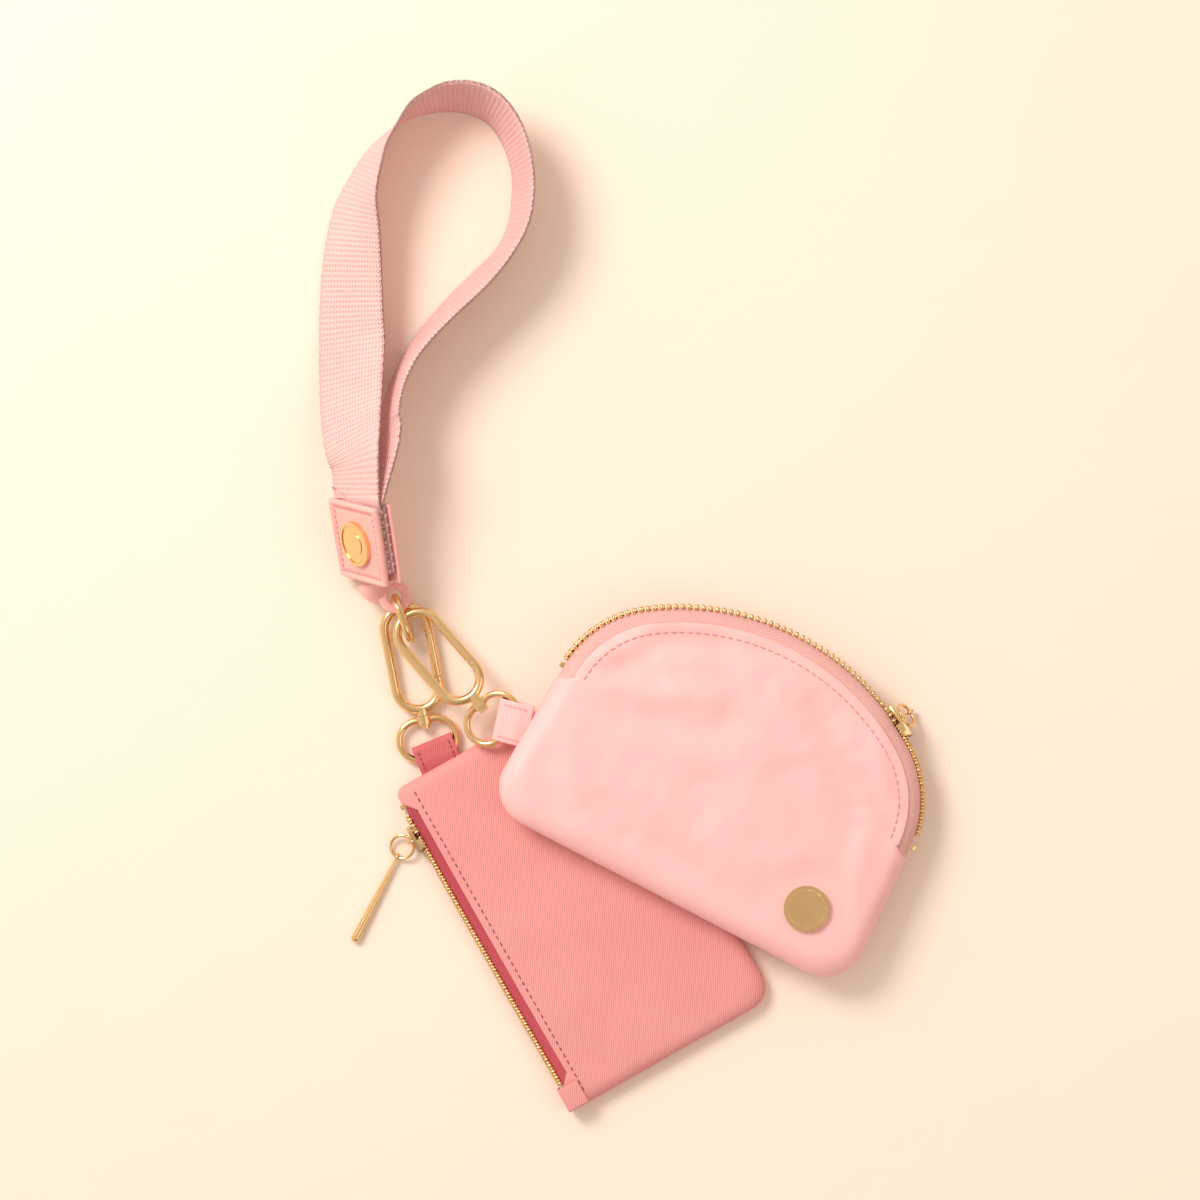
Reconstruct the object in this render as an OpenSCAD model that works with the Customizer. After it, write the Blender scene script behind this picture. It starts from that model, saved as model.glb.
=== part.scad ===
// Wristlet wallet: a webbing wrist strap, a link ring, two swivel clips and two zipped pouches.
// The origin is the middle of the rose pouch's resting face, with +Z up.

/* [Wrist strap] */
// Width of the webbing
webbing_w = 25; // [21:0.5:30]
// Thickness of the webbing
webbing_t = 1.6; // [1.2:0.1:2]
// Length of the leather end along the strap
leather_l = 26; // [22:1:32]
// How far the leather stands past each edge of the webbing
leather_margin = 0.5; // [0.2:0.1:1]
// Thickness of one layer of leather
leather_t = 1.4; // [1:0.1:1.8]
// Diameter of the hole punched in the tongue
tongue_hole_d = 4.6; // [4:0.1:5.5]
// Diameter of both round badges
badge_d = 14.5; // [10:0.5:18]
// Thickness of both round badges
badge_t = 1.5; // [1:0.1:2]

/* [Link ring] */
// Outer length of the oval link ring
link_l = 17; // [16:0.5:21]
// Outer height of the oval link ring
link_h = 12.6; // [12:0.2:16]
// Diameter of the link ring's wire
link_wire = 2.4; // [2:0.1:2.6]

/* [Clips and rings] */
// Outer length of a clip
clip_l = 36; // [32:1:44]
// Outer width of a clip
clip_w = 17; // [16:0.5:20]
// Diameter of a clip's wire
clip_wire = 3; // [2.6:0.1:3.2]
// Outer width of a swivel ring
ring_w = 20.5; // [19:0.5:24]
// Outer depth of a swivel ring
ring_d = 14.7; // [13:0.5:17]
// Diameter of a swivel ring's wire
ring_wire = 2.2; // [1.8:0.1:2.4]

/* [Dome pouch] */
// Width of the dome pouch between its zip ends
dome_w = 125; // [104:1:150]
// Height of the arch above the zip ends
arch_h = 46.2; // [40:0.2:56]
// Depth of the pouch below the zip ends
dome_drop = 47; // [40:1:60]
// Radius of the arch's shoulders
shoulder_r = 36; // [28:1:37]
// Thickness of the dome pouch
dome_t = 13; // [11:0.5:18]
// How far each lip of the open mouth stands from the middle
mouth_gap = 4; // [3:0.1:4.5]

/* [Rose pouch] */
// Width of the rose pouch, across its zip
rose_w = 73; // [60:1:90]
// Length of the rose pouch, along its zip
rose_l = 117; // [100:1:140]
// Thickness of the rose pouch
rose_t = 6.6; // [6.2:0.2:10]

/* [Walls, tabs and zips] */
// Thickness of the outer fabric
panel_t = 0.9; // [0.6:0.1:1.1]
// Thickness of the zip tapes
tape_t = 0.45; // [0.3:0.05:0.6]
// Thickness of the linings
lining_t = 0.35; // [0.2:0.05:0.5]
// Width of the ring tabs
tab_w = 13.6; // [10:0.2:15]
// Thickness of one layer of a ring tab
tab_t = 0.6; // [0.4:0.05:0.8]
// Pitch of the zip teeth on one tape
tooth_pitch = 2.2; // [2:0.1:3]
// Outer diameter of the pull rings
pull_ring_d = 8.5; // [7.5:0.1:10]
// Diameter of the pull rings' wire
pull_wire = 1; // [0.8:0.1:1.1]
// Length of the pull bars
pull_bar_l = 29; // [20:1:36]
// Largest diameter of the pull bars
pull_bar_d = 2.8; // [2:0.1:3]

/* [Hidden] */
$fn = 48;
fit_gap = 0.3;
layer_gap = 0.06;
seam_gap = 0.06;

blush = "#fec8c6";
rose = "#ee9996";
shell_pink = "#fbd9d6";
leather_pink = "#f9bdb4";
crimson = "#c95a66";
tape_pink = "#f6c8c0";
gold = "#d1a56f";

// --- small vector helpers
function unit(v) = v / norm(v);
function turn2(a, p) = [p.x * cos(a) - p.y * sin(a), p.x * sin(a) + p.y * cos(a)];
function spread(p, q, n) = [for (i = [0:n - 1]) p + (q - p) * i / n];
// Catmull-Rom curve through a list of vectors
function curve_at(a, b, c, d, t) = 0.5 * (2 * b + (c - a) * t
    + (2 * a - 5 * b + 4 * c - d) * t * t + (3 * b - a - 3 * c + d) * t * t * t);
function curve(list, n) = let(m = len(list) - 1)
    concat([for (i = [0:m - 1], j = [0:n - 1])
        curve_at(list[max(i - 1, 0)], list[i], list[i + 1], list[min(i + 2, m)], j / n)],
        [list[m]]);

// A solid through rings of equal length, closed by a face at each end
module loft(rings) {
    m = len(rings[0]);
    last = len(rings) - 1;
    polyhedron(
        points = [for (r = rings, p = r) p],
        faces = concat(
            [[for (k = [m - 1:-1:0]) k]],
            [[for (k = [0:m - 1]) last * m + k]],
            [for (i = [0:last - 1], k = [0:m - 1])
                [i * m + k, i * m + (k + 1) % m, (i + 1) * m + (k + 1) % m]],
            [for (i = [0:last - 1], k = [0:m - 1])
                [i * m + k, (i + 1) * m + (k + 1) % m, (i + 1) * m + k]]
        ),
        convexity = 10
    );
}

// --- where the pieces lie, worked out from the rose pouch to the dome pouch
rose_turn = 29.6;
dome_turn = -27.6;
axis_a = -49;
axis_b = -79;
link_turn = -69.5;

// The tab's place along the rose pouch's short edge
rose_tab_x = -19.4;
tab_b_root = turn2(rose_turn, [rose_tab_x, rose_l / 2]);
clip_r = (clip_w - clip_wire) / 2;
clip_straight = clip_l - clip_w;
ring_r = (ring_d - ring_wire) / 2;
ring_straight = ring_w - ring_d;
collar_l = 2.5;
neck_end = clip_straight + clip_w / 2 + 0.7;
collar_start = neck_end + 0.1;
collar_end = collar_start + collar_l;
ring_reach = (collar_start + collar_end) / 2 + ring_r;
post_end = collar_end + 1.6;

// From a tab's root to the middle of its ring
tab_b_reach = 9.2;
ring_b_at = tab_b_root + [-4.3, tab_b_reach - 1.1];
clip_b_at = ring_b_at - ring_reach * [cos(axis_b), sin(axis_b)];
link_at = clip_b_at + [-0.9, 3.4];
clip_a_at = link_at + [5.2, -4.9];
ring_a_at = clip_a_at + ring_reach * [cos(axis_a), sin(axis_a)];
tab_a_root = ring_a_at + [10.5, -2];

link_z = link_h / 2;
clip_b_z = link_wire + clip_wire / 2 + 0.15;
clip_a_z = clip_b_z + clip_wire + 1.25;
clip_a_rise = 5.1;
clip_b_rise = -2.3;
ring_a_roll = 15;

// The dome pouch's ring hangs down and its bar runs on under the pouch, clear of the rounded edge
dome_edge = 7;
tooth_out = 1;
bail_x = tooth_out + 1.3 + 0.2 + pull_wire / 2;
pull_r = (pull_ring_d - pull_wire) / 2;
dome_pull_tilt = 60;
bar_clear = 0.9567;
bar_sink = -0.0181;
pull_drop = 2 * pull_r * sin(dome_pull_tilt);
pull_slope = atan((dome_t / 2 + bar_clear - pull_drop)
    / (dome_edge + bail_x + 2 * pull_r * cos(dome_pull_tilt)));

// The dome pouch leans from the rose pouch's edge down to its own pull bar
dome_side_y = -18.8;
dome_at = tab_a_root + turn2(dome_turn, [dome_w / 2 + 1.5, -dome_side_y]);
lean_dir = [cos(rose_turn), sin(rose_turn)];
dome_along = dome_at * lean_dir;
dome_far_along = dome_along + 44;
dome_edge_z = rose_t + fit_gap;
dome_far_z = pull_drop + pull_bar_l * sin(pull_slope) + pull_bar_d / 2 - dome_t / 2 + bar_sink;
dome_lean = atan((dome_edge_z - dome_far_z) / (dome_far_along - rose_w / 2));
dome_z = dome_far_z + (dome_far_along - dome_along) * tan(dome_lean)
    + dome_t / 2 / cos(dome_lean);

module in_rose() { translate([0, 0, rose_t / 2]) rotate([0, 0, rose_turn]) children(); }
module in_dome() {
    translate([dome_at.x, dome_at.y, dome_z])
        rotate(-dome_lean, [sin(rose_turn), -cos(rose_turn), 0])
            rotate([0, 0, dome_turn]) children();
}
module in_clip_a() {
    translate([clip_a_at.x, clip_a_at.y, clip_a_z])
        rotate([0, 0, axis_a]) rotate([0, -clip_a_rise, 0]) children();
}
module in_clip_b() {
    translate([clip_b_at.x, clip_b_at.y, clip_b_z])
        rotate([0, 0, axis_b]) rotate([0, -clip_b_rise, 0]) children();
}
module in_ring_a() { in_clip_a() rotate([ring_a_roll, 0, 0]) translate([ring_reach, 0, 0]) children(); }
module in_ring_b() { in_clip_b() translate([ring_reach, 0, 0]) children(); }

// --- wrist strap
// The leather end lies turned, sloping down to its tongue and leaning back
end_turn = 97.9;
end_slope = -17.5;
end_lean = -54.3;
function rx(a, v) = [v.x, v.y * cos(a) - v.z * sin(a), v.y * sin(a) + v.z * cos(a)];
function ry(a, v) = [v.x * cos(a) + v.z * sin(a), v.y, v.z * cos(a) - v.x * sin(a)];
function rz(a, v) = [v.x * cos(a) - v.y * sin(a), v.x * sin(a) + v.y * cos(a), v.z];
function end_dir(v) = rz(end_turn, ry(end_slope, rx(end_lean, v)));
hole_reach = (link_l - link_wire) / 2 - 0.1;
hole_at = link_at - hole_reach * [cos(link_turn), sin(link_turn)];
end_up = end_dir([0, -1, 0]);
leather_w = webbing_w + 2 * leather_margin;
end_clear = 6.1315;
end_at = [hole_at.x - 8.5, hole_at.y + 18, leather_w / 2 * end_up.z + end_clear];
function from_end(v) = end_at + end_dir(v);
module in_leather() {
    translate(end_at) rotate([0, 0, end_turn]) rotate([0, end_slope, 0]) rotate([end_lean, 0, 0])
        children();
}

plate_t = 0.3;
webbing_mid = webbing_t / 2 + layer_gap;
plate_out = webbing_t + 2 * layer_gap;
front_out = plate_out + plate_t + layer_gap;
back_out = -webbing_t - 2 * layer_gap;

// The loop's route: the lower edge, then how far the upper edge leans over the table
loop_route = [
    [-80.5, 140, 11.5, 16, -2.5], [-83, 151, 8, 18.5, -1.5], [-84.5, 163.5, 4.2, 20.5, -0.5],
    [-85, 176, 1.9, 21.5, 0], [-85, 184, 1, 21, 2], [-84, 197, 0.8, 19.5, 4],
    [-82, 207.5, 0.7, 17, 6.5], [-79, 218.5, 0.6, 14, 5.5], [-74, 230, 0.5, 10.5, 2],
    [-69.5, 237.5, 0.4, 8, 0.5], [-62.5, 244, 0.3, 4, 0], [-55.5, 248.5, 0.3, 1, 2],
    [-49, 250.5, 0.3, -1, 3.5], [-42, 251, 0.3, -1.5, 6], [-35.5, 249.5, 0.4, 1, 7.5],
    [-30, 246, 0.4, 3.5, 7], [-26, 239.5, 0.4, 5.5, 5.5], [-23.5, 231, 0.4, 6.5, 3.5],
    [-23.5, 222, 0.4, 7.5, 1], [-25, 213.5, 0.4, 7, -1.5], [-29, 206, 0.4, 5.5, -4],
    [-36, 199, 0.4, 5.5, -5.5], [-45, 190, 0.4, 5, -5.5], [-53.5, 180, 0.4, 6, -3],
    [-59, 171, 0.4, 6, -1], [-63.5, 161, 0.5, 6.5, 0], [-67, 151, 2.5, 8, -1],
    [-70.5, 143, 6.5, 11.5, -2]
];
strap_shift = [hole_at.x + 60.7, hole_at.y - 95.4, 0];
function loop_station(r) = let(
        d = [r[3], r[4]] * webbing_w / 25,
        up = [d.x, d.y, sqrt(webbing_w * webbing_w - d * d)])
    [[r[0], r[1], r[2] + 0.25] + strap_shift + up / 2, up / webbing_w];
function end_station(x, z) = [from_end([x, 0, z]), end_up];
route_stations = concat(
    [for (x = [-leather_l / 2 + 4, 0, leather_l / 2 - 1, leather_l / 2 + 2]) end_station(x, webbing_mid)],
    [for (r = loop_route) loop_station(r)],
    [for (x = [leather_l / 2 + 2, leather_l / 2 - 1, 0, -leather_l / 2 + 4])
        end_station(x, -webbing_mid)]
);
route_points = curve([for (s = route_stations) s[0]], 3);
route_widths = curve([for (s = route_stations) s[1]], 3);

// The corners of a flat strip's cross-section at point i of its centre line
function strip_ring(centres, widths, i, w, t) = let(
        last = len(centres) - 1,
        along = centres[min(i + 1, last)] - centres[max(i - 1, 0)],
        out = unit(cross(along, widths[i])) * t / 2,
        up = unit(cross(out, along)) * w / 2,
        c = centres[i])
    [c - up + out, c + up + out, c + up - out, c - up - out];

module strap_webbing() {
    last = len(route_points) - 1;
    color(shell_pink)
        loft([for (i = [0:last]) strip_ring(route_points, route_widths, i, webbing_w, webbing_t)]);
}

tongue_r = 5.2;
tongue_z = clip_b_z + clip_wire / 2 + 1.15;
tongue_t = 1.3;
// The tongue starts between the webbing's ends, then turns to lie flat around its hole
module leather_tongue() {
    mid_z = tongue_z + leather_t / 2;
    flat_up = unit([0.61, 0.79, 0]);
    start = from_end([-leather_l / 2 - 0.2, 0, 0]);
    finish = [hole_at.x - 2.4, hole_at.y + 1.9, mid_z];
    stations = concat(
        [[from_end([-leather_l / 2 + 3.8, 0, 0]), end_up, 8]],
        [for (t = [0:0.2:1]) [
            start + (finish - start) * t + [-0.6, -0.6, 0.9] * sin(180 * t),
            unit(end_up * (1 - t) + flat_up * t), 8 - 3.2 * t]]
    );
    centres = [for (s = stations) s[0]];
    widths = [for (s = stations) s[1]];
    color(leather_pink) difference() {
        union() {
            loft([for (i = [0:len(stations) - 1])
                strip_ring(centres, widths, i, 2 * stations[i][2], tongue_t)]);
            translate([hole_at.x, hole_at.y, tongue_z]) cylinder(h = leather_t, r = tongue_r);
        }
        translate([hole_at.x, hole_at.y, tongue_z - 1]) cylinder(h = leather_t + 2, d = tongue_hole_d);
    }
}

border_w = 1.6;
border_h = 0.5;
module leather_front() {
    color(leather_pink) in_leather() difference() {
        translate([-leather_l / 2, -leather_w / 2, front_out])
            cube([leather_l, leather_w, leather_t + border_h]);
        translate([-leather_l / 2 + border_w, -leather_w / 2 + border_w, front_out + leather_t])
            cube([leather_l - 2 * border_w, leather_w - 2 * border_w, 4]);
        for (x = [-1, 1]) translate([x * prong_x, 0, front_out - 1])
            cylinder(h = 4, r = prong_r + layer_gap);
    }
}

module leather_back() {
    color(leather_pink) in_leather()
        translate([-leather_l / 2, -leather_w / 2, back_out - leather_t])
            cube([leather_l, leather_w, leather_t]);
}

stitch_h = 0.25;
module stitch_row(x0, x1, pitch, w) {
    n = floor((x1 - x0) / pitch);
    for (i = [0:n - 1])
        translate([x0 + (i + 0.5) * (x1 - x0) / n, 0, stitch_h / 2])
            cube([pitch * 0.62, w, stitch_h], center = true);
}
module leather_stitching() {
    run = leather_w / 2 - border_w - 0.8;
    color("white") in_leather() for (x = [-1, 1])
        translate([x * (leather_l / 2 - border_w - 1), 0, front_out + leather_t + 0.02])
            rotate([0, 0, 90]) stitch_row(-run, run, 1.6, 0.45);
}

prong_x = 3.5;
prong_r = 0.6;
module badge(d, t) {
    difference() {
        cylinder(h = t, d = d);
        translate([0, 0, t - 0.3]) cylinder(h = 1, d = d - 1.6);
    }
    translate([0, 0, t - 0.4]) cylinder(h = 0.3, d = d * 0.55);
}
module strap_badge() {
    top = front_out + leather_t + 0.03;
    color(gold) in_leather() {
        translate([0, 0, top]) badge(badge_d, badge_t);
        for (x = [-1, 1]) translate([x * prong_x, 0, plate_out + 0.05])
            cylinder(h = top - plate_out, r = prong_r);
    }
}
module strap_badge_plate() {
    color("silver") in_leather() translate([0, 0, plate_out]) difference() {
        cylinder(h = plate_t, r = 5.5);
        for (x = [-1, 1]) translate([x * prong_x, 0, -1]) cylinder(h = 3, r = prong_r + layer_gap);
    }
}

// --- link ring, clips and swivels
// An oval of round wire in the XY plane, long along X
module oval(straight, r, wire) {
    for (s = [-1, 1]) {
        translate([s * straight / 2, 0, 0]) rotate([0, 0, s == 1 ? -90 : 90])
            rotate_extrude(angle = 180) translate([r, 0]) circle(d = wire, $fn = 24);
        translate([-straight / 2, s * r, 0]) rotate([0, 90, 0]) cylinder(h = straight, d = wire, $fn = 24);
    }
}
module link_ring() {
    r = (link_h - link_wire) / 2;
    color(gold) translate([link_at.x, link_at.y, link_z]) rotate([0, 0, link_turn])
        rotate([90, 0, 0]) oval(link_l - link_h, r, link_wire);
}

pin_r = 0.5;
pin_x = clip_straight - 0.8;
ear_start = pin_x - 1.2;
gate_end = ear_start - 0.6;
gate_start = 2.6;
gate_slot = 1.3;
neck_r = 1.7;
post_r = 0.8;
spring_x = gate_end - 5.6;
module clip_frame() {
    color(gold) difference() {
        union() {
            rotate([0, 0, 90]) rotate_extrude(angle = 180)
                translate([clip_r, 0]) circle(d = clip_wire, $fn = 24);
            translate([clip_straight, 0, 0]) rotate([0, 0, -90]) rotate_extrude(angle = 180)
                translate([clip_r, 0]) circle(d = clip_wire, $fn = 24);
            translate([0, -clip_r, 0]) rotate([0, 90, 0]) cylinder(h = clip_straight, d = clip_wire, $fn = 24);
            translate([0, clip_r, 0]) rotate([0, 90, 0])
                cylinder(h = gate_start - fit_gap, d = clip_wire, $fn = 24);
            translate([ear_start, clip_r, 0]) rotate([0, 90, 0])
                cylinder(h = clip_straight - ear_start, d = clip_wire, $fn = 24);
            translate([clip_straight + clip_r, 0, 0]) rotate([0, 90, 0])
                cylinder(h = neck_end - clip_straight - clip_r, r = neck_r);
        }
        translate([ear_start - 1, clip_r - 3, -gate_slot / 2]) cube([3.6, 6, gate_slot]);
        translate([pin_x, clip_r, -3]) cylinder(h = 6, r = pin_r);
        translate([clip_straight + clip_r + 0.4, 0, 0]) rotate([0, 90, 0])
            cylinder(h = 6, r = post_r);
    }
}
module clip_gate() {
    tongue_t = gate_slot - 0.3;
    color(gold) difference() {
        union() {
            translate([gate_start, clip_r, 0]) rotate([0, 90, 0])
                cylinder(h = gate_end - gate_start, d = clip_wire - 0.1, $fn = 24);
            translate([pin_x, clip_r, -tongue_t / 2]) cylinder(h = tongue_t, r = 1.15);
            translate([gate_end - 0.5, clip_r - 1.15, -tongue_t / 2])
                cube([pin_x - gate_end + 0.5, 2.3, tongue_t]);
        }
        translate([pin_x, clip_r, -3]) cylinder(h = 6, r = pin_r + 0.06);
        translate([spring_x, clip_r, 0]) rotate([0, 90, 0]) cylinder(h = 4.6, r = 0.75);
    }
}
module clip_gate_pin() {
    color("silver") translate([pin_x, clip_r, -clip_wire / 2 + 0.1])
        cylinder(h = clip_wire - 0.2, r = pin_r - 0.02);
}
spring_turns = 5;
module clip_spring() {
    coil_r = 0.48;
    wire_r = 0.12;
    color("silver") translate([spring_x + 0.25, clip_r, 0])
        loft([for (i = [0:spring_turns * 10]) let(a = i * 36, x = i * 4 / (spring_turns * 10))
            [for (k = [0:4]) let(r = coil_r + wire_r * cos(k * 72))
                [x + wire_r * sin(k * 72), r * cos(a), r * sin(a)]]]);
}
module swivel_post() {
    color(gold) translate([clip_straight + clip_r + 0.5, 0, 0]) rotate([0, 90, 0]) {
        cylinder(h = post_end - clip_straight - clip_r - 0.5, r = post_r - 0.02);
        translate([0, 0, collar_end + 0.65 - clip_straight - clip_r - 0.5])
            cylinder(h = post_end - collar_end - 0.65, r = 1.6);
    }
}
collar_r = 2.4;
module swivel_ring() {
    color(gold) difference() {
        union() {
            rotate([0, 0, 90]) oval(ring_straight, ring_r, ring_wire);
            translate([collar_start - ring_reach, 0, 0]) rotate([0, 90, 0])
                cylinder(h = collar_l, r = collar_r);
        }
        translate([-ring_reach, 0, 0]) rotate([0, 90, 0]) cylinder(h = ring_reach, r = post_r + 0.08);
    }
}
module swivel_washer() {
    color(gold) translate([collar_end + 0.15 - ring_reach, 0, 0]) rotate([0, 90, 0]) difference() {
        cylinder(h = 0.4, r = 2);
        translate([0, 0, -1]) cylinder(h = 3, r = post_r + 0.08);
    }
}

module clip_a_frame() { in_clip_a() clip_frame(); }
module clip_a_gate() { in_clip_a() clip_gate(); }
module clip_a_gate_pin() { in_clip_a() clip_gate_pin(); }
module clip_a_spring() { in_clip_a() clip_spring(); }
module clip_a_swivel_post() { in_clip_a() swivel_post(); }
module ring_a() { in_ring_a() swivel_ring(); }
module ring_a_washer() { in_ring_a() swivel_washer(); }
module clip_b_frame() { in_clip_b() clip_frame(); }
module clip_b_gate() { in_clip_b() clip_gate(); }
module clip_b_gate_pin() { in_clip_b() clip_gate_pin(); }
module clip_b_spring() { in_clip_b() clip_spring(); }
module clip_b_swivel_post() { in_clip_b() swivel_post(); }
module ring_b() { in_ring_b() swivel_ring(); }
module ring_b_washer() { in_ring_b() swivel_washer(); }

// --- ring tabs: a folded band around a swivel ring's wire, in the ring's own plane
tab_inner = ring_wire + 0.2;
tab_root_gap = 1.1;
// x runs from the tab's root to its fold
module ring_tab(l) {
    r = tab_inner / 2 + tab_t;
    translate([0, tab_w / 2, 0]) rotate([90, 0, 0]) linear_extrude(tab_w) difference() {
        union() {
            translate([l - r, 0]) circle(r = r);
            translate([tab_root_gap, -r]) square([l - r - tab_root_gap, 2 * r]);
        }
        translate([l - r, 0]) circle(r = tab_inner / 2);
        translate([tab_root_gap + 0.15, -tab_inner / 2]) square([l - r - tab_root_gap - 0.15, tab_inner]);
    }
}
module tab_stitching(l) {
    top = tab_inner / 2 + tab_t + 0.02;
    color("white") for (y = [-1, 1])
        translate([0, y * (tab_w / 2 - 1.6), top]) stitch_row(tab_root_gap + 0.2, l - 2, 1.5, 0.35);
}
tab_a_l = 9.78;
tab_b_l = 8.6;
// Where each tab's root sits in its ring's plane, and which way the tab points
tab_a_turn = 214.7;
tab_b_turn = 191.3;
module in_tab_a() { in_ring_a() translate([8.72, 6.81, 0]) rotate([0, 0, tab_a_turn - 360]) children(); }
module in_tab_b() { in_ring_b() translate([9.04, 2.67, 0]) rotate([0, 0, tab_b_turn]) children(); }
module dome_tab() { color(blush) in_tab_a() ring_tab(tab_a_l); }
module dome_tab_stitching() { in_tab_a() tab_stitching(tab_a_l); }
module rose_tab() { color(crimson) in_tab_b() ring_tab(tab_b_l); }
module rose_tab_stitching() { in_tab_b() tab_stitching(tab_b_l); }

// --- pouches
// Height and inset of the rounded edge at angle f, o under the outer surface
function edge_in(w, o, f) = w - (w - o) * cos(f);
function edge_z(h, o, f, lip) = lip * (1 - sin(f)) + (h - o) * sin(f);
// One outline point drawn in by d, keeping the outline's proportions
function drawn_in(p, half, d) = [p.x * (1 - d / half.x), p.y * (1 - d / half.y)];
edge_steps = 5;

// A dish between depths o1 and o2, from each outline point's starting angle to the flat middle
module half_shell(outline, half, w, h, lips, starts, o1, o2) {
    n = len(outline) - 1;
    outer = [for (i = [edge_steps:-1:0]) [for (k = [n:-1:0]) let(
        f = starts[k] + (90 - starts[k]) * i / edge_steps,
        p = drawn_in(outline[k], half, edge_in(w, o1, f)))
        [p.x, p.y, edge_z(h, o1, f, lips[k])]]];
    inner = [for (i = [0:edge_steps]) [for (k = [n:-1:0]) let(
        f = starts[k] + (90 - starts[k]) * i / edge_steps,
        p = drawn_in(outline[k], half, edge_in(w, o2, f)))
        [p.x, p.y, edge_z(h, o2, f, lips[k])]]];
    loft(concat(outer, inner));
}
// A zip tape along a stretch of the outline, from its edge to just under the panel's fold
module tape(path, half, w, h, lips, end_angle, o1, o2) {
    loft([for (k = [len(path) - 1:-1:0]) concat(
        [for (i = [0:edge_steps]) let(f = end_angle * i / edge_steps,
            p = drawn_in(path[k], half, edge_in(w, o1, f))) [p.x, p.y, edge_z(h, o1, f, lips[k])]],
        [for (i = [edge_steps:-1:0]) let(f = end_angle * i / edge_steps,
            p = drawn_in(path[k], half, edge_in(w, o2, f))) [p.x, p.y, edge_z(h, o2, f, lips[k])]]
    )]);
}
tape_in = panel_t + layer_gap;
lining_in = tape_in + tape_t + layer_gap;
tooth_in = panel_t;
tooth_low = 1;
tooth_high = 1.4;
// One tooth in the slider's axes: x out of the pouch, y along the zip
module tooth(lip) {
    translate([-tooth_in + layer_gap, -tooth_pitch * 0.215, lip - tooth_low])
        cube([tooth_in + tooth_out - layer_gap, tooth_pitch * 0.43, tooth_low + tooth_high]);
}
module both_sides() { children(); mirror([0, 0, 1]) children(); }

// Slider, ring and bar, in axes at the chain: x out of the pouch, y towards the open end
module slider(l, w) {
    plate_x = tooth_out + 0.2;
    color(gold) {
        translate([plate_x, 0, 0]) rotate([0, 90, 0]) linear_extrude(1.2)
            polygon([[-w / 2, l * 0.35], [-w * 0.3, l / 2], [w * 0.3, l / 2], [w / 2, l * 0.35],
                [w * 0.42, -l * 0.42], [w * 0.3, -l / 2], [-w * 0.3, -l / 2], [-w * 0.42, -l * 0.42]]);
        both_sides() translate([plate_x - 1.4, -l * 0.4, w / 2 - 0.9]) cube([1.6, l * 0.36, 0.55]);
        translate([-lining_in - 0.7, l / 2 - 2.2, -0.25]) cube([plate_x + lining_in + 0.8, 1.4, 0.5]);
        translate([-lining_in - 1.1, -l * 0.3, -0.8]) cube([0.6, l * 0.3 + l / 2 - 0.8, 1.6]);
        translate([plate_x + 1.1, 0, 0]) rotate([90, 0, 0]) rotate([0, 0, -90])
            rotate_extrude(angle = 180) translate([bail_r, 0]) circle(d = 0.9, $fn = 16);
    }
}
bail_r = 1.8;
module pull_ring(tilt) {
    color(gold) translate([bail_x, 0, 0]) rotate([0, tilt, 0]) translate([pull_r, 0, 0])
        rotate_extrude() translate([pull_r, 0]) circle(d = pull_wire, $fn = 16);
}
// The bar hangs from the ring at angle swing around it, dipping by dip from the ring's plane
module pull_bar(tilt, swing, dip) {
    eye_r = pull_wire / 2 + 0.55;
    color(gold) translate([bail_x, 0, 0]) rotate([0, tilt, 0]) translate([pull_r, 0, 0])
        rotate([0, 0, swing]) translate([pull_r, 0, 0]) rotate([0, dip, 0]) {
            rotate([90, 0, 0]) rotate_extrude() translate([eye_r, 0]) circle(r = 0.35, $fn = 16);
            translate([eye_r + 0.15, 0, 0]) rotate([0, 90, 0])
                cylinder(h = pull_bar_l - eye_r, r1 = 0.6, r2 = pull_bar_d / 2, $fn = 24);
            translate([pull_bar_l + 0.15, 0, 0]) sphere(d = pull_bar_d, $fn = 24);
        }
}

// --- dome pouch
dome_half = [dome_w / 2 + 1.5, (arch_h + dome_drop) / 2];
dome_h = dome_t / 2;
shoulder_x = dome_w / 2 - shoulder_r;
shoulder_y = 2;
arch_r = (pow(shoulder_x, 2) + pow(arch_h - shoulder_y, 2) - pow(shoulder_r, 2))
    / (2 * (arch_h - shoulder_y - shoulder_r));
arch_y = arch_h - arch_r;
arch_span = atan2(shoulder_x, shoulder_y - arch_y);
corner_r = 13;
shoulder_len = shoulder_r * (90 - arch_span) * PI / 180;
top_len = arch_r * 2 * arch_span * PI / 180;
arch_len = 2 * shoulder_len + top_len;
// A point and its outward angle, s along the arch from the left zip end
function arch_at(s) =
    s < shoulder_len
        ? let(a = 180 - s / shoulder_r * 180 / PI)
            [[-shoulder_x, shoulder_y] + shoulder_r * [cos(a), sin(a)], a]
    : s < shoulder_len + top_len
        ? let(a = 90 + arch_span - (s - shoulder_len) / arch_r * 180 / PI)
            [[0, arch_y] + arch_r * [cos(a), sin(a)], a]
    : let(a = 90 - arch_span - (s - shoulder_len - top_len) / shoulder_r * 180 / PI)
        [[shoulder_x, shoulder_y] + shoulder_r * [cos(a), sin(a)], a];
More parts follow.
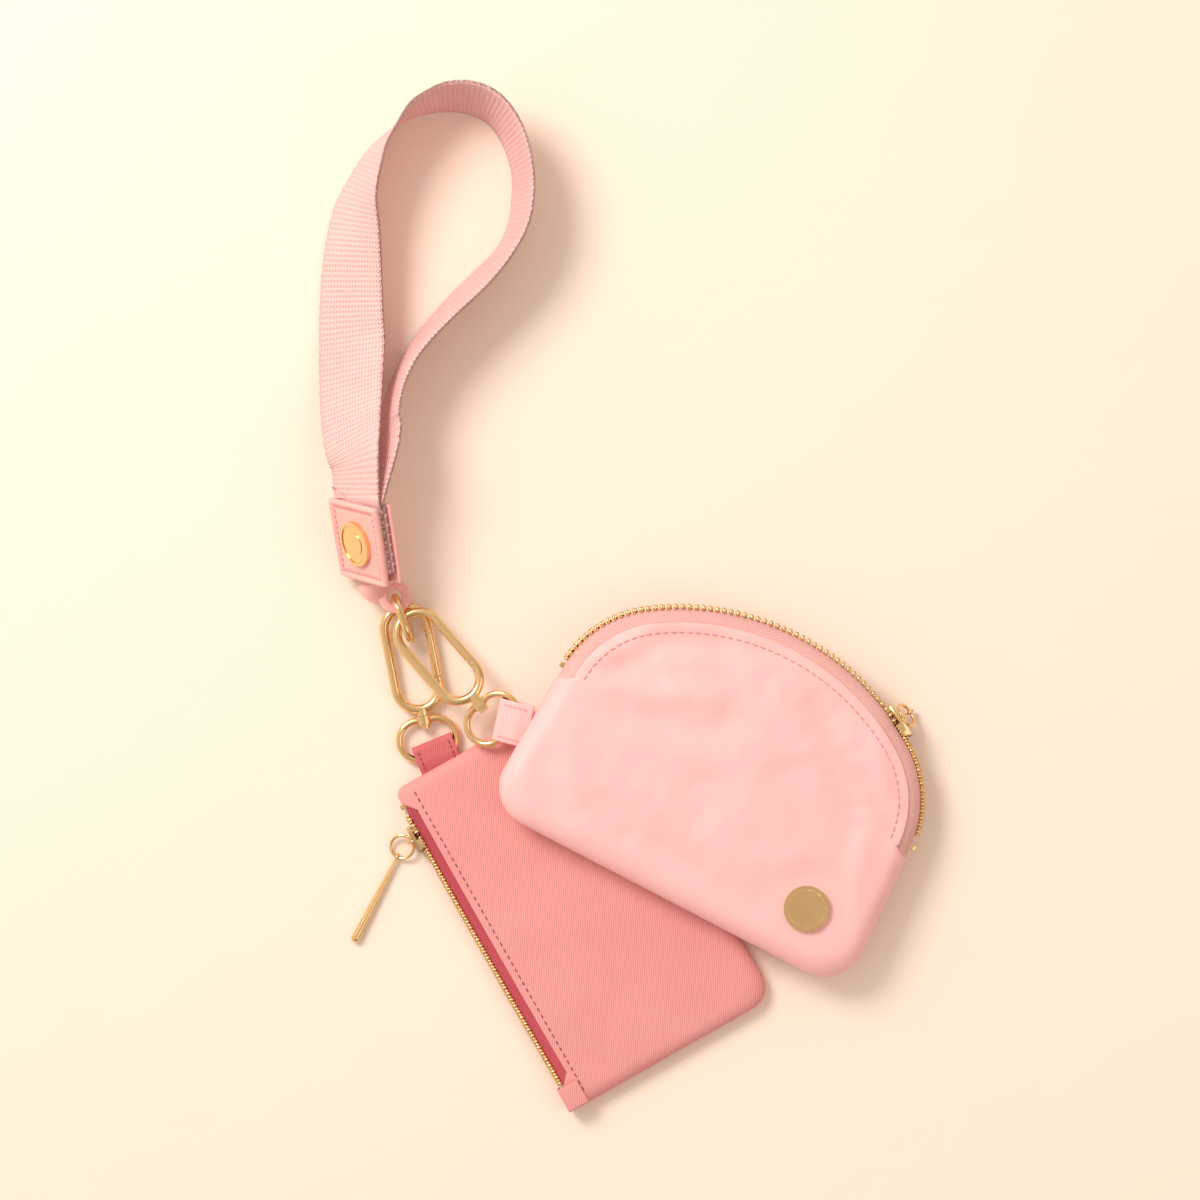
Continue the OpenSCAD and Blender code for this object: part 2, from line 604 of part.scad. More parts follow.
// How far along the zip the slider stands from its closed end
slider_from_end = 43.1736;
slider_s = arch_len - slider_from_end;
slider_spot = arch_at(slider_s);
function dome_lip(s) = s >= slider_s || s <= 0 ? seam_gap
    : seam_gap + mouth_gap * pow(max(0, sin(180 * s / slider_s)), 0.35);
arch_steps = 40;
arch_s = [for (i = [0:arch_steps]) arch_len * i / arch_steps];
fold_angle = 73;
dome_low = [
    for (a = [0:-15:-90]) [dome_half.x - corner_r, corner_r - dome_drop] + corner_r * [cos(a), sin(a)],
    for (x = [0.5, 0, -0.5]) [x * dome_w / 2, -dome_drop],
    for (a = [-90:-15:-180]) [corner_r - dome_half.x, corner_r - dome_drop] + corner_r * [cos(a), sin(a)]
];
dome_outline = concat([for (s = arch_s) arch_at(s)[0]],
    [[dome_half.x - 0.7, -dome_drop * 0.3]], dome_low, [[0.7 - dome_half.x, -dome_drop * 0.3]]);
arch_n = len(arch_s);
low_n = len(dome_outline) - arch_n;
dome_lips = concat([for (s = arch_s) dome_lip(s)], [for (i = [1:low_n]) seam_gap]);
dome_starts = concat([for (s = arch_s) fold_angle], [for (i = [1:low_n]) 0]);

module dome_shell(o1, o2) {
    half_shell(dome_outline, dome_half, dome_edge, dome_h, dome_lips, dome_starts, o1, o2);
}
module dome_tape() {
    tape([for (s = arch_s) arch_at(s)[0]], dome_half, dome_edge, dome_h, dome_lips,
        fold_angle + 8, tape_in, tape_in + tape_t);
}
// A row of teeth, shifted by half a pitch on the back tape so that both rows mesh
module dome_teeth(shift) {
    n = floor((arch_len - 8) / tooth_pitch);
    for (i = [0:n - 1]) let(s = 4 + (i + shift) * tooth_pitch, p = arch_at(s))
        translate([p[0].x, p[0].y, 0]) rotate([0, 0, p[1]]) tooth(dome_lip(s));
}
module dome_front_panel() { color(blush) in_dome() dome_shell(0, panel_t); }
module dome_back_panel() { color(blush) in_dome() mirror([0, 0, 1]) dome_shell(0, panel_t); }
module dome_front_lining() { color("seashell") in_dome() dome_shell(lining_in, lining_in + lining_t); }
module dome_back_lining() {
    color("seashell") in_dome() mirror([0, 0, 1]) dome_shell(lining_in, lining_in + lining_t);
}
module dome_front_tape() { color(tape_pink) in_dome() dome_tape(); }
module dome_back_tape() { color(tape_pink) in_dome() mirror([0, 0, 1]) dome_tape(); }
module dome_front_teeth() { color(gold) in_dome() dome_teeth(0); }
module dome_back_teeth() { color(gold) in_dome() mirror([0, 0, 1]) dome_teeth(0.5); }
module dome_zip_stops() {
    color(gold) in_dome() for (s = [1.6, arch_len - 1.6]) let(p = arch_at(s))
        translate([p[0].x, p[0].y, 0]) rotate([0, 0, p[1]])
            translate([-tooth_in + layer_gap, -0.9, -1.6]) cube([tooth_out + tooth_in, 1.8, 3.2]);
}
stitch_in = 8.2;
module dome_topstitching() {
    n = floor(arch_len / 3.6);
    color("white") in_dome() for (i = [1:n - 1]) let(p = arch_at(arch_len * i / n),
            q = drawn_in(p[0], dome_half, stitch_in))
        translate([q.x, q.y, dome_h + 0.02 + stitch_h / 2]) rotate([0, 0, p[1] + 90])
            cube([2, 0.5, stitch_h], center = true);
}
module dome_badge() {
    color(gold) in_dome() translate([dome_half.x - 23, 18 - dome_drop, dome_h + 0.03])
        badge(badge_d, badge_t);
}
module at_dome_slider() {
    in_dome() translate([slider_spot[0].x, slider_spot[0].y, 0]) rotate([0, 0, slider_spot[1]]) children();
}
slider_w = 5.6;
dome_slider_l = 12;
module dome_slider() { at_dome_slider() slider(dome_slider_l, slider_w); }
module dome_pull_ring() { at_dome_slider() pull_ring(dome_pull_tilt); }
module dome_pull_bar() { at_dome_slider() pull_bar(dome_pull_tilt, 0, 180 - dome_pull_tilt - pull_slope); }

// --- rose pouch
rose_half = [rose_w / 2, rose_l / 2];
rose_edge = 4.6;
rose_h = rose_t / 2;
rose_corner = 3;
rose_zip_low = -rose_l / 2 + 9;
rose_zip_high = rose_l / 2 - 6;
rose_slider_l = 9;
rose_slider_y = rose_l / 2 - 16.8;
rose_fold = 78;
rose_lip_gap = 1.6;
function rose_lip(y) = y <= rose_slider_y || y >= rose_zip_high + 0.5 ? seam_gap
    : seam_gap + rose_lip_gap * pow(sin(180 * (y - rose_slider_y) / (rose_zip_high + 0.5 - rose_slider_y)), 0.35);
rose_zip_y = concat(
    spread(rose_zip_low, rose_slider_y, 6),
    [for (i = [0:8]) rose_slider_y + (rose_zip_high + 0.5 - rose_slider_y) * i / 8]);
function rose_corner_at(sx, sy, from) = [for (a = [from:-30:from - 90])
    [sx * (rose_half.x - rose_corner), sy * (rose_half.y - rose_corner)]
        + rose_corner * [cos(a), sin(a)]];
rose_rest = concat(
    rose_corner_at(-1, 1, 180), rose_corner_at(1, 1, 90),
    rose_corner_at(1, -1, 0), rose_corner_at(-1, -1, -90));
rose_bow = 0.4;
function rose_side(y) = [-rose_half.x - rose_bow * (1 - pow(y / rose_half.y, 2)), y];
rose_path = [for (y = rose_zip_y) rose_side(y)];
rose_outline = concat(rose_path, rose_rest);
rose_lips = concat([for (y = rose_zip_y) rose_lip(y)], [for (p = rose_rest) seam_gap]);
rose_starts = concat([for (y = rose_zip_y) rose_fold], [for (p = rose_rest) 0]);

module rose_shell(o1, o2) {
    half_shell(rose_outline, rose_half, rose_edge, rose_h, rose_lips, rose_starts, o1, o2);
}
module rose_tape() {
    tape(rose_path, rose_half, rose_edge, rose_h, rose_lips,
        rose_fold + 5, tape_in, tape_in + tape_t);
}
module rose_teeth(shift) {
    n = floor((rose_zip_high - rose_zip_low - 2) / tooth_pitch);
    for (i = [0:n - 1]) let(y = rose_zip_low + 0.8 + (i + shift) * tooth_pitch)
        translate([rose_side(y).x, y, 0]) rotate([0, 0, 180]) tooth(rose_lip(y));
}
module rose_front_panel() { color(rose) in_rose() rose_shell(0, panel_t); }
module rose_back_panel() { color(rose) in_rose() mirror([0, 0, 1]) rose_shell(0, panel_t); }
module rose_front_lining() { color("mistyrose") in_rose() rose_shell(lining_in, lining_in + lining_t); }
module rose_back_lining() {
    color("mistyrose") in_rose() mirror([0, 0, 1]) rose_shell(lining_in, lining_in + lining_t);
}
module rose_front_tape() { color(crimson) in_rose() rose_tape(); }
module rose_back_tape() { color(crimson) in_rose() mirror([0, 0, 1]) rose_tape(); }
module rose_front_teeth() { color(gold) in_rose() rose_teeth(0); }
module rose_back_teeth() { color(gold) in_rose() mirror([0, 0, 1]) rose_teeth(0.5); }
module rose_top_stops() {
    color(gold) in_rose() both_sides()
        translate([-rose_half.x - tooth_out, rose_zip_high - 0.6, 0.15])
            cube([tooth_out + tooth_in - layer_gap, 1.6, 1.3]);
}
module rose_zip_end_tab() {
    color(rose) in_rose() {
        translate([-rose_half.x - 1.6, -rose_half.y + 0.5, -1.8]) cube([1.5, 8, rose_h + 1.8 + 0.6]);
        translate([-rose_half.x - 0.5, -rose_half.y + 0.5, rose_h + 0.05]) cube([5.5, 8, 0.55]);
    }
}
module rose_topstitching() {
    color("brown") in_rose() translate([-rose_half.x + 6.2, 0, rose_h + 0.02]) rotate([0, 0, 90])
        stitch_row(rose_zip_low + 2, rose_half.y - 3, 2.4, 0.4);
}
module at_rose_slider() {
    in_rose() translate([rose_side(rose_slider_y).x, rose_slider_y, 0]) rotate([0, 0, 180]) mirror([0, 1, 0])
        children();
}
rose_pull_tilt = 14.5;
module rose_slider() { at_rose_slider() slider(rose_slider_l, slider_w); }
module rose_pull_ring() { at_rose_slider() pull_ring(rose_pull_tilt); }
module rose_pull_bar() { at_rose_slider() pull_bar(rose_pull_tilt, -34, -12); }

strap_webbing();
leather_front();
leather_back();
leather_tongue();
leather_stitching();
strap_badge();
strap_badge_plate();
link_ring();
clip_a_frame();
clip_a_gate();
clip_a_gate_pin();
clip_a_spring();
clip_a_swivel_post();
ring_a();
ring_a_washer();
clip_b_frame();
clip_b_gate();
clip_b_gate_pin();
clip_b_spring();
clip_b_swivel_post();
ring_b();
ring_b_washer();
dome_front_panel();
dome_back_panel();
dome_front_lining();
dome_back_lining();
dome_front_tape();
dome_back_tape();
dome_front_teeth();
dome_back_teeth();
dome_zip_stops();
dome_topstitching();
dome_tab();
dome_tab_stitching();
dome_badge();
dome_slider();
dome_pull_ring();
dome_pull_bar();
rose_front_panel();
rose_back_panel();
rose_front_lining();
rose_back_lining();
rose_front_tape();
rose_back_tape();
rose_front_teeth();
rose_back_teeth();
rose_top_stops();
rose_zip_end_tab();
rose_topstitching();
rose_tab();
rose_tab_stitching();
rose_slider();
rose_pull_ring();
rose_pull_bar();
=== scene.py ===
import math

import bmesh
import bpy
import numpy as np
from mathutils import Matrix, Vector, noise


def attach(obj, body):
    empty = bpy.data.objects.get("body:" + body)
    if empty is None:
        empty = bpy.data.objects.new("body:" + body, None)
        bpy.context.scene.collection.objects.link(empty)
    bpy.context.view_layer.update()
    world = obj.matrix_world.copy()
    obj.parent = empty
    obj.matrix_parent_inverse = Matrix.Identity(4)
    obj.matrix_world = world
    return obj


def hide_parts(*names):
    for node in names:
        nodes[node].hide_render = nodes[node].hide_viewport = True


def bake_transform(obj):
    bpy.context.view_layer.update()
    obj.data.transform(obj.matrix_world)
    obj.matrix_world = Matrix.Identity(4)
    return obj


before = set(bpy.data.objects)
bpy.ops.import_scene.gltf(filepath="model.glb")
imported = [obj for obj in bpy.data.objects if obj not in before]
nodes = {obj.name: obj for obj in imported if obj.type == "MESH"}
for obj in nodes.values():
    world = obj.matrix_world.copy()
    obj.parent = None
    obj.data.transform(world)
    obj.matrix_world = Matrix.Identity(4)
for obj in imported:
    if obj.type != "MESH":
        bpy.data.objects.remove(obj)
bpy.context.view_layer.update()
mm = 0.001
print("frame loaded")


# Placing: all lengths below are in millimetres, in each piece's own axes
def turned(angle, axis):
    return np.array(Matrix.Rotation(math.radians(angle), 3, axis if isinstance(axis, str) else Vector(axis)))


class Place:
    def __init__(self, turn=None, at=(0, 0, 0)):
        self.turn = np.eye(3) if turn is None else turn
        self.at = np.array(at, float)

    def then(self, turn=None, at=(0, 0, 0)):
        turn = np.eye(3) if turn is None else turn
        return Place(self.turn @ turn, self.at + self.turn @ np.array(at, float))

    def points(self, p):
        return np.asarray(p, float) @ self.turn.T + self.at

    def vectors(self, p):
        return np.asarray(p, float) @ self.turn.T


layout = {"roseTurn": 29.6, "domeTurn": -27.6, "domeAt": (46.819, 41.016, 12.158), "domeLean": -2.926,
          "clipA": (-52.595, 83.025, 8.3), "clipATurn": -49, "clipARise": -5.1,
          "clipB": (-56.895, 84.525, 4.05), "clipBTurn": -79, "clipBRise": 2.3,
          "ringReach": 35.8, "ringARoll": 15, "holeAt": (-60.316, 94.669)}
leanAxis = (math.sin(math.radians(layout["roseTurn"])), -math.cos(math.radians(layout["roseTurn"])), 0)
inRose = Place(turned(layout["roseTurn"], "Z"), (0, 0, 3.3))
inDome = Place(turned(layout["domeLean"], leanAxis) @ turned(layout["domeTurn"], "Z"), layout["domeAt"])
inRingA = Place(turned(layout["clipATurn"], "Z") @ turned(layout["clipARise"], "Y"), layout["clipA"]).then(
    turned(layout["ringARoll"], "X")).then(at=(layout["ringReach"], 0, 0))
inRingB = Place(turned(layout["clipBTurn"], "Z") @ turned(layout["clipBRise"], "Y"), layout["clipB"]).then(
    at=(layout["ringReach"], 0, 0))
inTabA = inRingA.then(at=(8.72, 6.81, 0)).then(turned(214.7, "Z"))
inTabB = inRingB.then(at=(9.04, 2.67, 0)).then(turned(191.3, "Z"))
inLeather = Place(turned(97.9, "Z") @ turned(-17.5, "Y") @ turned(-54.3, "X"),
                  (layout["holeAt"][0] - 8.5, layout["holeAt"][1] + 18, 16.2))


# Mesh helpers
def newPiece(name, points, faces, material, smooth=True, uv=None):
    mesh = bpy.data.meshes.new(name)
    mesh.from_pydata([tuple(p) for p in np.asarray(points) * mm], [], [tuple(int(i) for i in f) for f in faces])
    if uv is not None:
        layer = mesh.uv_layers.new(name="cloth")
        index = np.zeros(len(mesh.loops), int)
        mesh.loops.foreach_get("vertex_index", index)
        layer.data.foreach_set("uv", np.asarray(uv)[index].ravel())
    mesh.polygons.foreach_set("use_smooth", [smooth] * len(mesh.polygons))
    mesh.materials.append(material)
    mesh.update()
    piece = bpy.data.objects.new(name, mesh)
    bpy.context.collection.objects.link(piece)
    return piece


def gridFaces(rows, columns, closedRows=False, closedColumns=False, flip=False):
    faces = []
    for i in range(rows if closedRows else rows - 1):
        for k in range(columns if closedColumns else columns - 1):
            a, b = i * columns + k, i * columns + (k + 1) % columns
            c, d = (i + 1) % rows * columns + (k + 1) % columns, (i + 1) % rows * columns + k
            faces.append((a, d, c, b) if flip else (a, b, c, d))
    return faces


def outwards(piece):
    work = bmesh.new()
    work.from_mesh(piece.data)
    bmesh.ops.remove_doubles(work, verts=work.verts, dist=1e-7)
    bmesh.ops.recalc_face_normals(work, faces=work.faces)
    work.to_mesh(piece.data)
    work.free()
    return piece


def solidify(piece, thickness, offset=-1):
    wall = piece.modifiers.new("wall", "SOLIDIFY")
    wall.thickness = thickness * mm
    wall.offset = offset
    wall.use_rim = True
    return piece


def smoothstep(a, b, x):
    t = np.clip((np.asarray(x, float) - a) / (b - a), 0, 1)
    return t * t * (3 - 2 * t)


def catmull(points, steps):
    p = np.asarray(points, float)
    out = []
    for i in range(len(p) - 1):
        a, b, c, d = p[max(i - 1, 0)], p[i], p[i + 1], p[min(i + 2, len(p) - 1)]
        for j in range(steps):
            t = j / steps
            out.append(0.5 * (2 * b + (c - a) * t + (2 * a - 5 * b + 4 * c - d) * t * t
                              + (3 * b - a - 3 * c + d) * t ** 3))
    out.append(p[-1])
    return np.array(out)


# Shader groups shared by the materials
def groupOf(name, inputs, outputs):
    group = bpy.data.node_groups.new(name, "ShaderNodeTree")
    for label, kind, value in inputs:
        socket = group.interface.new_socket(label, in_out="INPUT", socket_type=kind)
        if value is not None:
            socket.default_value = value
    for label, kind in outputs:
        group.interface.new_socket(label, in_out="OUTPUT", socket_type=kind)
    return group, group.nodes.new("NodeGroupInput"), group.nodes.new("NodeGroupOutput")


def maths(group, kind, a, b=None, c=None):
    node = group.nodes.new("ShaderNodeMath")
    node.operation = kind
    for slotIndex, value in enumerate((a, b, c)):
        if value is None:
            continue
        if isinstance(value, (int, float)):
            node.inputs[slotIndex].default_value = value
        else:
            group.links.new(value, node.inputs[slotIndex])
    return node.outputs[0]


# Height is the weave's relief for the bump; the second output marks the weave's low points, where shade is painted
# into the colour
def clothWeave():
    group, start, end = groupOf("clothWeave", [
        ("Vector", "NodeSocketVector", None), ("Across", "NodeSocketFloat", 700.0),
        ("Along", "NodeSocketFloat", 700.0), ("Twill", "NodeSocketFloat", 0.0), ("Plain", "NodeSocketFloat", 1.0)],
        [("Height", "NodeSocketFloat"), ("ValleyShade", "NodeSocketFloat")])
    split = group.nodes.new("ShaderNodeSeparateXYZ")
    group.links.new(start.outputs["Vector"], split.inputs[0])
    turns = 2 * math.pi
    x = maths(group, "MULTIPLY", maths(group, "MULTIPLY", split.outputs[0], start.outputs["Across"]), turns)
    y = maths(group, "MULTIPLY", maths(group, "MULTIPLY", split.outputs[1], start.outputs["Along"]), turns)
    rib = maths(group, "SINE", maths(group, "MULTIPLY_ADD", y, start.outputs["Twill"], x))
    check = maths(group, "MULTIPLY", rib, maths(group, "SINE", y))
    plain = maths(group, "MULTIPLY", check, start.outputs["Plain"])
    lined = maths(group, "MULTIPLY", rib, maths(group, "SUBTRACT", 1.0, start.outputs["Plain"]))
    height = maths(group, "MULTIPLY_ADD", maths(group, "ADD", plain, lined), 0.5, 0.5)
    valleyShade = maths(group, "POWER", maths(group, "SUBTRACT", 1.0, height), 2.0)
    group.links.new(height, end.inputs["Height"])
    group.links.new(valleyShade, end.inputs["ValleyShade"])
    return group


# Mixes Body towards Deep by a noise of random dye tone, plus painted shade from the valley input (the weave's low
# points)
def dyeDriftAndValleyShade():
    group, start, end = groupOf("dyeDriftAndValleyShade", [
        ("Vector", "NodeSocketVector", None), ("Scale", "NodeSocketFloat", 30.0), ("Amount", "NodeSocketFloat", 0.3),
        ("ValleyShade", "NodeSocketFloat", 0.0), ("Body", "NodeSocketColor", None), ("Deep", "NodeSocketColor", None)],
        [("Color", "NodeSocketColor"), ("Drift", "NodeSocketFloat")])
    cloud = group.nodes.new("ShaderNodeTexNoise")
    cloud.inputs["Detail"].default_value = 4
    group.links.new(start.outputs["Vector"], cloud.inputs["Vector"])
    group.links.new(start.outputs["Scale"], cloud.inputs["Scale"])
    drift = maths(group, "MULTIPLY", maths(group, "SUBTRACT", cloud.outputs[0], 0.35), start.outputs["Amount"])
    share = maths(group, "MAXIMUM", maths(group, "ADD", drift, start.outputs["ValleyShade"]), 0.0)
    mix = group.nodes.new("ShaderNodeMix")
    mix.data_type = "RGBA"
    group.links.new(maths(group, "MINIMUM", share, 1.0), mix.inputs[0])
    group.links.new(start.outputs["Body"], mix.inputs[6])
    group.links.new(start.outputs["Deep"], mix.inputs[7])
    group.links.new(mix.outputs[2], end.inputs["Color"])
    group.links.new(cloud.outputs[0], end.inputs["Drift"])
    return group


weaveGroup, dyeAndShadeGroup = clothWeave(), dyeDriftAndValleyShade()


def linear(color):
    return tuple(v / 255 / 12.92 if v / 255 <= 0.04045 else ((v / 255 + 0.055) / 1.055) ** 2.4 for v in color) + (1,)


def material(name):
    made = bpy.data.materials.new(name)
    made.use_nodes = True
    return made, made.node_tree, made.node_tree.nodes["Principled BSDF"]


def coords(tree, turn=0, cloth=False):
    source = tree.nodes.new("ShaderNodeTexCoord")
    place = tree.nodes.new("ShaderNodeMapping")
    place.inputs["Rotation"].default_value[2] = math.radians(turn)
    tree.links.new(source.outputs["UV" if cloth else "Object"], place.inputs["Vector"])
    return place.outputs[0]


def bump(tree, shader, height, distance, strength=1.0):
    node = tree.nodes.new("ShaderNodeBump")
    node.inputs["Distance"].default_value = distance
    node.inputs["Strength"].default_value = strength
    tree.links.new(height, node.inputs["Height"])
    tree.links.new(node.outputs[0], shader.inputs["Normal"])


# across and along are threads per metre, depths in metres; the valley amount is painted shade, darkening the colour in
# the weave's low points
fabrics = {
    "blushSatin": {"body": (254, 196, 194), "deep": (246, 170, 170), "across": 2600, "along": 2600, "twill": 0,
                   "plain": 1.0, "depth": 0.00003, "valleyShade": 0.1, "rough": 0.42, "sheen": 0.25, "turn": 27.6,
                   "specular": 0.45},
    "roseTwill": {"body": (242, 166, 162), "deep": (210, 118, 120), "across": 1430, "along": 260, "twill": 0.5,
                  "plain": 0.0, "depth": 0.00012, "valleyShade": 0.3, "rough": 0.72, "sheen": 0.35, "turn": 2,
                  "specular": 0.3},
    "strapWebbing": {"body": (252, 208, 204), "deep": (232, 160, 158), "across": 800, "along": 625, "twill": 0,
                     "plain": 0.75, "depth": 0.0005, "valleyShade": 0.6, "rough": 0.8, "sheen": 0.3, "turn": 0,
                     "specular": 0.25, "cloth": True},
    "blushTape": {"body": (246, 194, 187), "deep": (226, 150, 146), "across": 1300, "along": 900, "twill": 0.9,
                  "plain": 0.1, "depth": 0.00018, "valleyShade": 0.4, "rough": 0.75, "sheen": 0.3, "turn": 0,
                  "specular": 0.3, "cloth": True},
    "crimsonTape": {"body": (214, 92, 104), "deep": (158, 48, 66), "across": 1300, "along": 900, "twill": 0.9,
                    "plain": 0.1, "depth": 0.00018, "valleyShade": 0.4, "rough": 0.75, "sheen": 0.3, "turn": 0,
                    "specular": 0.3, "cloth": True},
    "lining": {"body": (248, 216, 208), "deep": (228, 184, 176), "across": 1500, "along": 1500, "twill": 0,
               "plain": 1.0, "depth": 0.00008, "valleyShade": 0.2, "rough": 0.8, "sheen": 0.2, "turn": 15,
               "specular": 0.3},
    "paleThread": {"body": (250, 178, 178), "deep": (222, 130, 134), "across": 3500, "along": 3500, "twill": 1.0,
                   "plain": 0.0, "depth": 0.00008, "valleyShade": 0.3, "rough": 0.6, "sheen": 0.3, "turn": 40,
                   "specular": 0.35},
    "roseThread": {"body": (168, 66, 84), "deep": (122, 40, 58), "across": 3500, "along": 3500, "twill": 1.0,
                   "plain": 0.0, "depth": 0.00008, "valleyShade": 0.3, "rough": 0.6, "sheen": 0.2, "turn": 40,
                   "specular": 0.3},
    "roseTabCloth": {"body": (222, 118, 120), "deep": (180, 78, 86), "across": 1430, "along": 260, "twill": 0.5,
                     "plain": 0.0, "depth": 0.00012, "valleyShade": 0.34, "rough": 0.72, "sheen": 0.3, "turn": 2,
                     "specular": 0.3}}


def fabric(name):
    s = fabrics[name]
    made, tree, shader = material(name)
    vector = coords(tree, s["turn"], s.get("cloth", False))
    weave = tree.nodes.new("ShaderNodeGroup")
    weave.node_tree = weaveGroup
    tree.links.new(vector, weave.inputs["Vector"])
    for label, key in (("Across", "across"), ("Along", "along"), ("Twill", "twill"), ("Plain", "plain")):
        weave.inputs[label].default_value = s[key]
    dye = tree.nodes.new("ShaderNodeGroup")
    dye.node_tree = dyeAndShadeGroup
    tree.links.new(vector, dye.inputs["Vector"])
    dye.inputs["Scale"].default_value = 45
    dye.inputs["Amount"].default_value = 0.45
    dye.inputs["Body"].default_value = linear(s["body"])
    dye.inputs["Deep"].default_value = linear(s["deep"])
    # painted shade: the weave's low points take more of the deep colour
    tree.links.new(maths(tree, "MULTIPLY", weave.outputs["ValleyShade"], s["valleyShade"]), dye.inputs["ValleyShade"])
    tree.links.new(dye.outputs["Color"], shader.inputs["Base Color"])
    tree.links.new(maths(tree, "MULTIPLY_ADD", dye.outputs["Drift"], 0.16, s["rough"] - 0.08),
                   shader.inputs["Roughness"])
    shader.inputs["Sheen Weight"].default_value = s["sheen"]
    shader.inputs["Sheen Roughness"].default_value = 0.4
    shader.inputs["Sheen Tint"].default_value = linear(s["body"])
    shader.inputs["Specular IOR Level"].default_value = s["specular"]
    bump(tree, shader, weave.outputs["Height"], s["depth"])
    return made


def grained(name, body, deep, rough):
    made, tree, shader = material(name)
    vector = coords(tree)
    cells = tree.nodes.new("ShaderNodeTexVoronoi")
    cells.inputs["Scale"].default_value = 1500
    tree.links.new(vector, cells.inputs["Vector"])
    fine = tree.nodes.new("ShaderNodeTexNoise")
    fine.inputs["Scale"].default_value = 700
    fine.inputs["Detail"].default_value = 5
    tree.links.new(vector, fine.inputs["Vector"])
    dye = tree.nodes.new("ShaderNodeGroup")
    dye.node_tree = dyeAndShadeGroup
    tree.links.new(vector, dye.inputs["Vector"])
    dye.inputs["Scale"].default_value = 120
    dye.inputs["Amount"].default_value = 0.7
    dye.inputs["Body"].default_value = linear(body)
    dye.inputs["Deep"].default_value = linear(deep)
    tree.links.new(dye.outputs["Color"], shader.inputs["Base Color"])
    tree.links.new(maths(tree, "MULTIPLY_ADD", fine.outputs[0], 0.25, rough - 0.12), shader.inputs["Roughness"])
    shader.inputs["Sheen Weight"].default_value = 0.12
    shader.inputs["Specular IOR Level"].default_value = 0.4
    bump(tree, shader, maths(tree, "ADD", cells.outputs[0], fine.outputs[0]), 0.00007)
    return made


def metal(name, body, deep, rough):
    made, tree, shader = material(name)
    vector = coords(tree)
    rub = tree.nodes.new("ShaderNodeTexNoise")
    rub.inputs["Scale"].default_value = 260
    rub.inputs["Detail"].default_value = 6
    tree.links.new(vector, rub.inputs["Vector"])
    dye = tree.nodes.new("ShaderNodeGroup")
    dye.node_tree = dyeAndShadeGroup
    tree.links.new(vector, dye.inputs["Vector"])
    dye.inputs["Scale"].default_value = 90
    dye.inputs["Amount"].default_value = 0.5
    dye.inputs["Body"].default_value = linear(body)
    dye.inputs["Deep"].default_value = linear(deep)
    tree.links.new(dye.outputs["Color"], shader.inputs["Base Color"])
    tree.links.new(maths(tree, "MULTIPLY_ADD", rub.outputs[0], 0.14, rough - 0.05), shader.inputs["Roughness"])
    shader.inputs["Metallic"].default_value = 1.0
    bump(tree, shader, rub.outputs[0], 0.00001)
    return made


mats = {name: fabric(name) for name in fabrics}
mats["strapLeather"] = grained("strapLeather", (249, 184, 176), (232, 152, 148), 0.5)
mats["paleGold"] = metal("paleGold", (244, 206, 150), (214, 160, 104), 0.16)
mats["pinSteel"] = metal("pinSteel", (205, 202, 196), (160, 156, 150), 0.3)
print("materials made")


